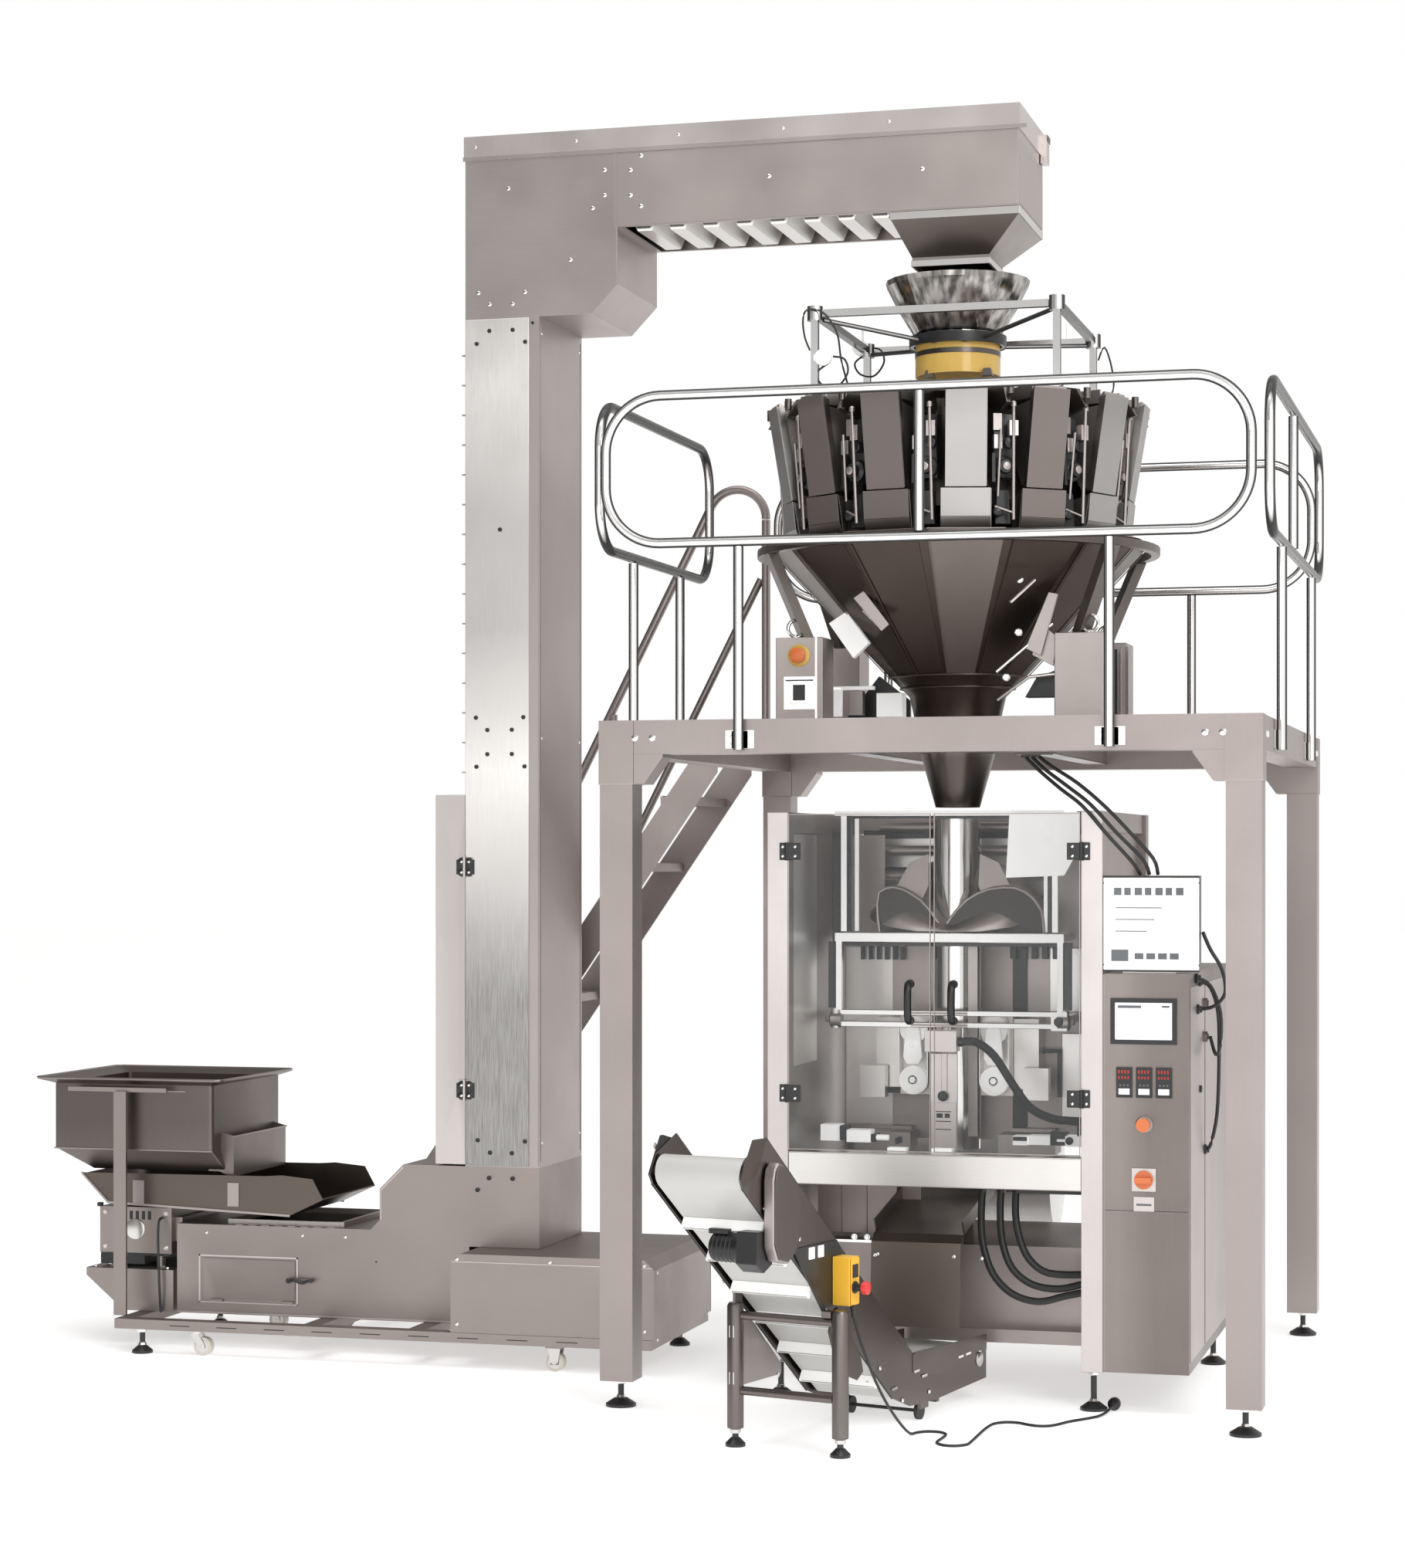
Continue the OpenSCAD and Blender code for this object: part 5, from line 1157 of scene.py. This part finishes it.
def sealers():
    """Back sealer carriage, tube shoe, jaw slides and the small valves over the sill."""
    face = Kit()
    face.box((WX - 50, 637.5, 1019), (WX + 50, 640, 1085))
    face.box((WX - 42, 697.5, 706), (WX + 38, 700, 860))
    face.box((WX - 8, 694, 880), (WX + 10, 700, 1012))
    for z in (1090, 1105):
        face.box((WX - 40, 690, z - 8), (WX + 40, 698, z - 4))
    face.done("seal_bar_covers", "pale", "seal_bar", bevel=1.5)
    marks = Kit()
    for z in (830, 800, 775):
        marks.box((WX - 26, 696.6, z), (WX + 22, 697.6, z + 3))
    marks.box((WX - 24, 696.6, 812), (WX - 4, 697.6, 826))
    marks.box((WX + 2, 696.6, 812), (WX + 18, 697.6, 826))
    marks.turned((WX - 2, 694, 880), (0, -1, 0), [(0, 16), (10, 16), (14, 11)], 24)
    marks.done("seal_bar_marks", "black", "seal_bar", bevel=0.4)

    hanger = Kit()
    for s in (-1, 1):
        hanger.rod((WX + s * 30, 716, 1072), (WX + s * 30, 776, 1072), 7)
        hanger.box((WX + s * 30 - 9, 770, 1060), (WX + s * 30 + 9, 790, 1090))
    hanger.box((WX + 44, 866, 742), (WX + 74, 872, 1340))
    hanger.done("seal_bar_hanger", "satin", bevel=0.8)

    valves, darks = Kit(), Kit()
    for x0, x1, z0, z1, y in ((463, 526, 742, 792, 600), (548, 624, 740, 778, 590),
                              (1064, 1110, 742, 770, 600), (1112, 1180, 744, 772, 600),
                              (1226, 1300, 742, 774, 590)):
        valves.box((x0, y, z0), (x1, y + 60, z1))
    for x, z in ((640, 756), (1200, 760), (1290, 786)):
        valves.rod((x, 600, z), (x + 40, 600, z), 9)
    for x0, x1 in ((730, 788), (864, 926)):
        valves.box((x0, 336, 738), (x1, 372, 750))
    for x0, x1, z0, z1 in ((526, 550, 745, 790), (624, 642, 742, 766), (700, 712, 738, 756),
                           (1066, 1108, 756, 768), (1180, 1228, 744, 786), (1262, 1270, 774, 806)):
        darks.box((x0, 592, z0), (x1, 648, z1))
    darks.turned((1240, 588, 760), (0, -1, 0), [(0, 12), (8, 12), (10, 8)], 20)
    valves.done("sill_valves", "white", bevel=1.5)
    darks.done("sill_valve_ends", "black", bevel=1.5)

    lower = Kit()
    lower.box((447, 556, 436), (692, 562, 444))
    for x in (580, 620):
        lower.bolt((x, 560, 452), (0, -1, 0), 8)
        lower.bolt((x, 556, 300), (0, -1, 0), 8)
    for x in (560, 880):
        lower.screw((x + 155, 238, 440), (0, -1, 0), 6)
    lower.screw((718, 258, 440), (0, -1, 0), 6)
    lower.screw((948, 258, 440), (0, -1, 0), 6)
    lower.done("bagger_fasteners", "polished", bevel=0.4)


def doors():
    """Clear doors with black hinges and handles."""
    for name, body, x, s, width in (("left_door", "door_left", 443, 1, 436),
                                    ("right_door", "door_right", 1327, -1, 438)):
        y = 247
        pane = Kit()
        pane.prism("y", [(x + s * 4, 748), (x + s * 4, 1746), (x + s * 10, 1748),
                         (x + s * (width - 6), 1748), (x + s * width, 1742),
                         (x + s * width, 752), (x + s * (width - 6), 746), (x + s * 10, 746)],
                   y + 2, y + 8)
        pane.done(f"{name}_pane", "clear", body, bevel=1, replaces=[name])
        edging = Kit()
        frame_box(edging, *sorted((x + s * 4, x + s * width)), 746, 1748, 2.5, y + 1.4, y + 8.6)
        edging.done(f"{name}_edging", "satin", body, bevel=0.4)
        grip = Kit()
        grip_x = x + s * (width - 60)
        path = [(grip_x, y - out, z) for out, z in
                ((-1, 1136), (24, 1136), (38, 1150), (41, 1190), (38, 1230), (24, 1244), (-1, 1244))]
        grip.pipe(smooth(path, 4), 11.5, 14)
        for z in (1136, 1244):
            grip.turned((grip_x, y + 2, z), (0, -1, 0),
                        [(0, 13), (5, 13), (8, 10)], 24)
        for z in (913, 1636):
            grip.box((x + s * 2, y - 4, z - 25), (x + s * 42, y + 2, z + 25))
            grip.turned((x, y, z - 27), (0, 0, 1), [(0, 6.5), (54, 6.5)], 18)
        grip.done(f"{name}_grip", "black", body, bevel=1.5)
        studs = Kit()
        for z in (913, 1636):
            for dz in (-14, 14):
                studs.screw((x + s * 26, y - 4, z + dz), (0, -1, 0), 4.5)
        studs.done(f"{name}_screws", "polished", body)
        leaf, dots = Kit(), Kit()
        for z in (913, 1636):
            low, high = sorted((x - s * 1.5, x - s * 24))
            leaf.box((low, BY0 - 9, z - 26), (high, BY0, z + 26))
            for dz in (-14, 14):
                dots.screw((x - s * 14, BY0 - 9, z + dz), (0, -1, 0), 4.5)
        leaf.done(f"{name}_hinge", "black", bevel=1.5)
        dots.done(f"{name}_hinge_screws", "polished")


def cabinet():
    """Touch panel, controllers, switches, display and seams of the cabinet."""
    y = BY0
    black, white, screen, marks, digits, bright = (Kit() for _ in range(6))
    frame_box(black, 1411, 1603, 1075, 1209, 13, y - 7.5, y)
    screen.box((1424, y - 4, 1088), (1590, y - 1, 1196))
    marks.box((1432, y - 4.6, 1180), (1500, y - 4, 1188))
    marks.box((1560, y - 4.6, 1182), (1582, y - 4, 1188))
    for k in range(3):
        x = 1428 + 57.5 * k
        black.box((x, y - 8, 920), (x + 46, y, 1008))
        frame_box(black, x, x + 46, 920, 1008, 3, y - 9, y - 7)
        for row, z in enumerate((990, 974)):
            for d in range(4):
                digits.box((x + 6 + 9 * d, y - 8.8, z), (x + 11 + 9 * d, y - 7.8, z + 10 - 2 * row))
        white.box((x + 7, y - 8.8, 929), (x + 39, y - 7.8, 946))
        for d in range(3):
            marks.turned((x + 12 + 11 * d, y - 8.2, 956), (0, -1, 0), [(0, 3), (1, 3)], 12)
    bright.loft([circle(Vector((1508, y - d, 842)), Vector((1, 0, 0)), Vector((0, 0, 1)), r, 36)
                 for d, r in ((0.2, 9.4), (0.2, 25), (4, 25), (7, 22), (8, 22), (8, 9.4))],
                loop=True)
    bright.box((1473, y - 5, 648), (1543, y - 0.2, 715))
    bright.box((1478, y - 3, 590), (1538, y - 0.2, 632))
    marks.box((1486, y - 3.6, 606), (1530, y - 3, 612))
    frame_box(black, 1392.3, 1633, 590, 591.5, 0.7, y - 0.6, y)
    black.done("panel_bezels", "black", bevel=1.2, replaces=["panel_fittings"])
    white.done("controller_keys", "white", bevel=0.6)
    screen.done("touch_panel", "screen", bevel=0.8)
    marks.done("panel_marks", "figures")
    digits.done("controller_digits", "digits")
    bright.done("switch_collars", "pale", bevel=1)

    case, front, glass, shapes, edge = (Kit() for _ in range(5))
    case.box((1392, y + 14, 1294), (1665, y + 50, 1562))
    case.box((1470, y + 50.3, 1287), (1560, y + 130, 1420))
    case.box((1440, y + 24, 1277.5), (1600, y + 46, 1294))
    case.done("display_case", "pale", bevel=3, replaces=["weigher_display"])
    frame_box(front, 1389, 1668, 1290, 1560, 16, y, y + 14)
    front.done("display_bezel", "white", bevel=3)
    edge.box((1389, y - 0.5, 1559), (1668, y + 50, 1565))
    edge.box((1389, y - 0.5, 1286), (1668, y + 49, 1291))
    for x0, x1 in ((1389, 1392.5), (1664.5, 1668)):
        edge.box((x0, y + 1, 1290), (x1, y + 49, 1560))
    edge.done("display_edge", "black", bevel=1)
    glass.box((1405, y + 4, 1306), (1652, y + 10, 1544))
    glass.done("display_screen", "screen", bevel=0.6)
    for k in range(7):
        shapes.box((1420 + k * 30, y + 3.2, 1508), (1442 + k * 30 - 3 * (k % 2), y + 4, 1530))
    for row in range(3):
        shapes.box((1424, y + 3.2, 1470 - row * 34), (1560 - row * 22, y + 4, 1473 - row * 34))
    for k in range(4):
        shapes.box((1480 + k * 34, y + 3.2, 1322), (1506 + k * 34, y + 4, 1340))
    shapes.box((1412, y + 3.2, 1316), (1462, y + 4, 1350))
    shapes.done("display_shapes", "figures")

    trim = Kit()
    lo, hi = 1388.3, 1638.3
    trim.box((lo + 4, y - 1.2, 124), (lo + 6, y, 1270))
    trim.box((hi, y + 30, 150), (hi + 1.6, 640, 1240))
    trim.box((hi, 670, 150), (hi + 1.6, 1260, 1240))
    for z in (240, 700, 1160):
        trim.turned((hi - 6, y + 12, z - 22), (0, 0, 1), [(0, 5), (44, 5)], 14)
    trim.box((lo + 2, y + 2, 1277), (hi - 2, 1288, 1279.5))
    trim.done("cabinet_trim", "satin", bevel=0.8)

    glands = Kit()
    for yy, z in ((620, 1180), (620, 1080), (500, 1250), (420, 1262), (450, 1170), (640, 740)):
        glands.turned((hi + 1, yy, z), (1, 0, 0), [(0, 15), (7, 15), (9, 11), (16, 9)], 20)
    glands.turned((hi + 1, 520, 930), (1, 0, 0), [(0, 11), (6, 11), (8, 7)], 20)
    glands.box((1120, 352, 622), (1310, 400, 642))
    for x in (1010, 1065, 1110):
        glands.turned((x, 400, 642), (0, 0, -1), [(-6, 17), (10, 17), (14, 14), (24, 13)], 6)
    glands.turned((884, 668, 1050), (1, -0.1, 0), [(0, 15), (10, 15), (16, 13.6)], 20)
    glands.done("cable_glands", "black", bevel=0.8)


def frame_box(kit, x0, x1, z0, z1, t, y0, y1):
    """A rectangular frame square to Y, its bars t wide."""
    for a, b in (((x0, z1 - t), (x1, z1)), ((x0, z0), (x1, z0 + t)),
                 ((x0, z0 + t), (x0 + t, z1 - t)), ((x1 - t, z0 + t), (x1, z1 - t))):
        kit.box((a[0], y0, a[1]), (b[0], y1, b[1]))


# ---- conveyor ----

def conveyor():
    """Plates, legs, guards and switch of the take-off conveyor. Y runs to its tail."""
    low = [(-440, 760), (415, 92), (521, 55), (684, 50), (1028, 66)]
    top = [(1028, 192), (537, 204), (-317, 884), (-425, 838), (-455, 785)]
    sides = Kit(CONVEYOR)
    for x in (-165, 108):
        sides.prism("x", low + top, x, x + 4)
    sides.box((-160, -20, 395), (-152, 20, 430))
    for x in (-160.5, 96):
        sides.box((x, 600, 34), (x + 11, 650, 70))
    sides.box((-160, 700, 40), (107, 720, 49))
    sides.prism("x", [(537, 200), (560, 206), (1028, 196), (1028, 150), (700, 120), (537, 150)],
                112.2, 113.6)
    sides.done("conveyor_sides", "side", bevel=1, replaces=["conveyor_frame"])

    legs = Kit(CONVEYOR)
    for s in (-1, 1):
        legs.turned((s * 163, 0, 50), (0, 0, 1), [(0, 23), (336, 23), (345, 18)], 32)
    for z in (154, 361):
        legs.rod((-142, 0, z), (142, 0, z), 12, 24)
    legs.box((112.5, -16, 374), (142, 16, 392))
    legs.done("conveyor_legs", "hopper", bevel=1)
    brace = Kit(CONVEYOR)
    brace.prism("x", [(14, 160), (270, 160), (270, 190), (120, 320), (14, 392)], -172, -168)
    brace.done("conveyor_brace", "satin", bevel=1)

    edges = Kit(CONVEYOR)
    for x in (-166, 107.5):
        edges.pipe([(x, y, z) for y, z in low[:2]], 2.6, 8)
    edges.pipe([(110, y, z) for y, z in top[1:3]], 2.4, 8)
    edges.prism("x", [(-455, 786), (-424, 838), (-395, 884), (-380, 884), (-330, 872),
                      (-400, 800), (-440, 762)], -168, -165.2)
    edges.prism("x", [(-158, 577), (-158, 555), (8, 398), (95, 398), (95, 540), (70, 577)],
                113, 117)
    edges.prism("x", [(-178, 594), (-158, 577), (0, 402), (8, 380), (-10, 386), (-172, 566)],
                112.4, 118)
    edges.done("conveyor_ears", "black", bevel=1, replaces=["switch_box"])

    ear = Kit(CONVEYOR)
    ear.prism("x", [(-455, 786), (-436, 822), (-395, 884), (-350, 884), (-317, 882),
                    (-372, 790), (-440, 762)], 112.2, 114.6)
    ear.prism("x", [(22, 330), (40, 378), (76, 392), (112, 372), (214, 232), (226, 196),
                    (190, 176), (120, 200), (60, 252)], 112.3, 116)
    ear.done("conveyor_covers", "brown", bevel=2)

    rim = Kit(CONVEYOR)
    outline = [(-340, 600), (-340, 775), (-332, 803), (-312, 820), (-288, 812), (-232, 752),
               (-196, 672), (-198, 610), (-226, 570), (-264, 548), (-318, 560)]
    rim.prism("x", outline, 115, 147)
    rim.done("drive_guard", "satin", bevel=5, replaces=["conveyor_motor"])
    face = Kit(CONVEYOR)
    face.prism("x", [(y * 0.94 - 16, z * 0.95 + 34) for y, z in outline], 147, 150)
    face.done("drive_guard_face", "side", bevel=1.5)

    motor = Kit(CONVEYOR @ Matrix.Translation((0, 50, 0)))
    motor.turned((-44, -372, 590), (1, 0, 0), [(0, 32), (5, 37), (12, 38), (82, 38), (84, 44),
                                              (94, 44)], 40)
    motor.prism("x", [(-418, 640), (-330, 640), (-322, 600), (-340, 548), (-384, 530),
                      (-424, 556)], 50, 114.5)
    motor.box((-50, -392, 626), (10, -350, 640))
    for k in range(5):
        motor.turned((-32 + 13 * k, -372, 590), (1, 0, 0), [(0, 39.6), (5, 39.6)], 40)
    motor.done("conveyor_motor_case", "black", bevel=3)

    slots = Kit(CONVEYOR)
    for y, z in ((560, 150), (610, 130), (850, 152), (900, 154), (420, 120)):
        slots.prism("x", [(y - 16, z - 4), (y + 16, z - 3), (y + 16, z + 5), (y - 16, z + 4)],
                    113.4, 115.2)
    slots.prism("x", [(74, 330), (92, 334), (112, 288), (98, 280)], 116, 117.6)
    for y, z in ((-330, 700), (-140, 600), (-60, 460), (250, 160), (980, 150), (470, 80),
                 (330, 190), (640, 80)):
        slots.screw((113.6, y, z), (1, 0, 0), 7)
        slots.screw((-165.4, y, z), (-1, 0, 0), 7)
    slots.turned((-168, -418, 858), (-1, 0, 0), [(0, 9), (1.2, 9)], 20)
    slots.done("conveyor_slots", "polished", bevel=0.8)

    tags = Kit(CONVEYOR)
    for y in (-96, -44):
        tags.box((117.2, y, 540), (121, y + 30, 572))
    tags.done("conveyor_tags", "white", bevel=1)

    case = Kit(CONVEYOR)
    case.box((117.3, 40, 402), (170, 94, 534))
    case.box((170, 43, 405), (174, 91, 531))
    case.done("switch_case", "yellow", bevel=5)
    collar = Kit(CONVEYOR)
    collar.turned((174, 62, 452), (1, 0, 0), [(0, 17), (5, 16), (6, 11), (22, 10)], 32)
    collar.box((174, 50, 478), (175.5, 82, 514))
    collar.done("switch_collar", "black", bevel=0.4)
    knob = Kit(CONVEYOR)
    knob.turned((214, 62, 452), (1, 0, 0), [(0, 17.5), (2, 17), (4, 13), (5, 6)], 32)
    knob.done("conveyor_stop_top", "red", "conveyor_push")

    flights = Kit(CONVEYOR)
    run = Vector((0, -405 - 470, 792 - 128)).normalized()
    out = Vector((0, -run.z, run.y))
    for k in range(6):
        for start, side in ((110, 1), (190, -1)):
            root = Vector((0, 470, 128)) + run * (start + 165 * k) + out * side * 44.6
            p, q = root - run * 2, root + run * 7
            flights.prism("x", [(v.y, v.z) for v in
                                (p, q, q + out * side * 31 - run * 2,
                                 p + out * side * 33.4 - run * 1)], -146, 100)
    flights.done("belt_flights", "white", bevel=1.5)
    skin = Kit(CONVEYOR)
    a0 = math.atan2(run.z, run.y)
    outside = [(-405 + 44.5 * math.cos(a0 + a), 792 + 44.5 * math.sin(a0 + a)) for a in
               (math.radians(-88 + 11 * k) for k in range(17))]
    inside = [(-405 + 42 * math.cos(a0 + a), 792 + 42 * math.sin(a0 + a)) for a in
              (math.radians(88 - 11 * k) for k in range(17))]
    skin.prism("x", outside + inside, -149, 103)
    skin.done("belt_head", "belt", angle=40)

    cross = Kit(CONVEYOR)
    cross.turned((-165, -405, 792), (-1, 0, 0), [(0, 26), (2, 26), (5, 18)], 28)
    cross.turned((-165, 975, 128), (-1, 0, 0), [(0, 22), (5, 22), (8, 14)], 28)
    cross.turned((112, 975, 128), (1, 0, 0), [(0, 22), (5, 22), (8, 14)], 28)
    for s in (-1, 1):
        cross.turned((s * 163, 0, 36), (0, 0, 1), [(0, 16), (11, 16), (13, 14)], 6)
    for z in (172, 300):
        cross.box((-171, -22.4, z), (-155, -20, z + 34))
    cross.done("conveyor_fittings", "bright", bevel=1)


# ---- light and floor ----

def light(name, place, aim, size, power, colour=(1, 1, 1)):
    lamp = bpy.data.lights.new(name, "AREA")
    lamp.shape = "RECTANGLE"
    lamp.size, lamp.size_y = size
    lamp.energy = power
    lamp.color = colour
    shown = bpy.data.objects.new(name, lamp)
    shown.location = place
    shown.rotation_euler = (Vector(aim) - Vector(place)).to_track_quat("-Z", "Y").to_euler()
    bpy.context.scene.collection.objects.link(shown)


def studio():
    """Pale floor, even white surroundings and soft lights from the front right and above."""
    floor = Kit(Matrix.Identity(4))
    floor.sheet([(-60, -60, 0), (60, -60, 0), (60, 60, 0), (-60, 60, 0)], -0.01)
    mesh = bpy.data.meshes.new("floor")
    floor.bm.to_mesh(mesh)
    floor.bm.free()
    ground = bpy.data.objects.new("floor", mesh)
    mesh.materials.append(finish("studio_floor", (0.90, 0.90, 0.90), 0.0, 0.7, spread=0.01,
                                 grain=(20,) * 3, bump=0.0, streak=0.0, glow=0.52))
    bpy.context.scene.collection.objects.link(ground)

    world = bpy.data.worlds.new("studio")
    world.use_nodes = True
    tree = world.node_tree
    tree.nodes.clear()
    way = node(tree, "ShaderNodeSeparateXYZ")
    tree.links.new(node(tree, "ShaderNodeTexCoord").outputs["Generated"], way.inputs[0])
    room = node(tree, "ShaderNodeBackground", Color=(1.0, 0.985, 0.97, 1))
    tree.links.new(ramp(tree, way.outputs[0], -0.8, 0.7, 0.14, 1.05), room.inputs["Strength"])
    backdrop = node(tree, "ShaderNodeBackground", Color=(1, 1, 1, 1), Strength=1.0)
    blend = node(tree, "ShaderNodeMixShader")
    tree.links.new(node(tree, "ShaderNodeLightPath").outputs["Is Camera Ray"], blend.inputs[0])
    tree.links.new(room.outputs[0], blend.inputs[1])
    tree.links.new(backdrop.outputs[0], blend.inputs[2])
    tree.links.new(blend.outputs[0], node(tree, "ShaderNodeOutputWorld").inputs[0])
    bpy.context.scene.world = world
    bpy.context.scene.view_settings.view_transform = "Standard"
    light("key", (6.5, -7.5, 6.5), (0, 0, 1.6), (4, 4), 330)
    light("front", (0.5, -8, 2.2), (0.6, 0, 1.4), (7, 3), 90)
    light("top", (0, -1, 8), (0, 0, 0), (6, 5), 260)


make_camera()
make_cord()
dress_nodes()
elevator()
feeder()
platform()
weigher()
funnel()
bagger()
cabinet()
conveyor()
studio()
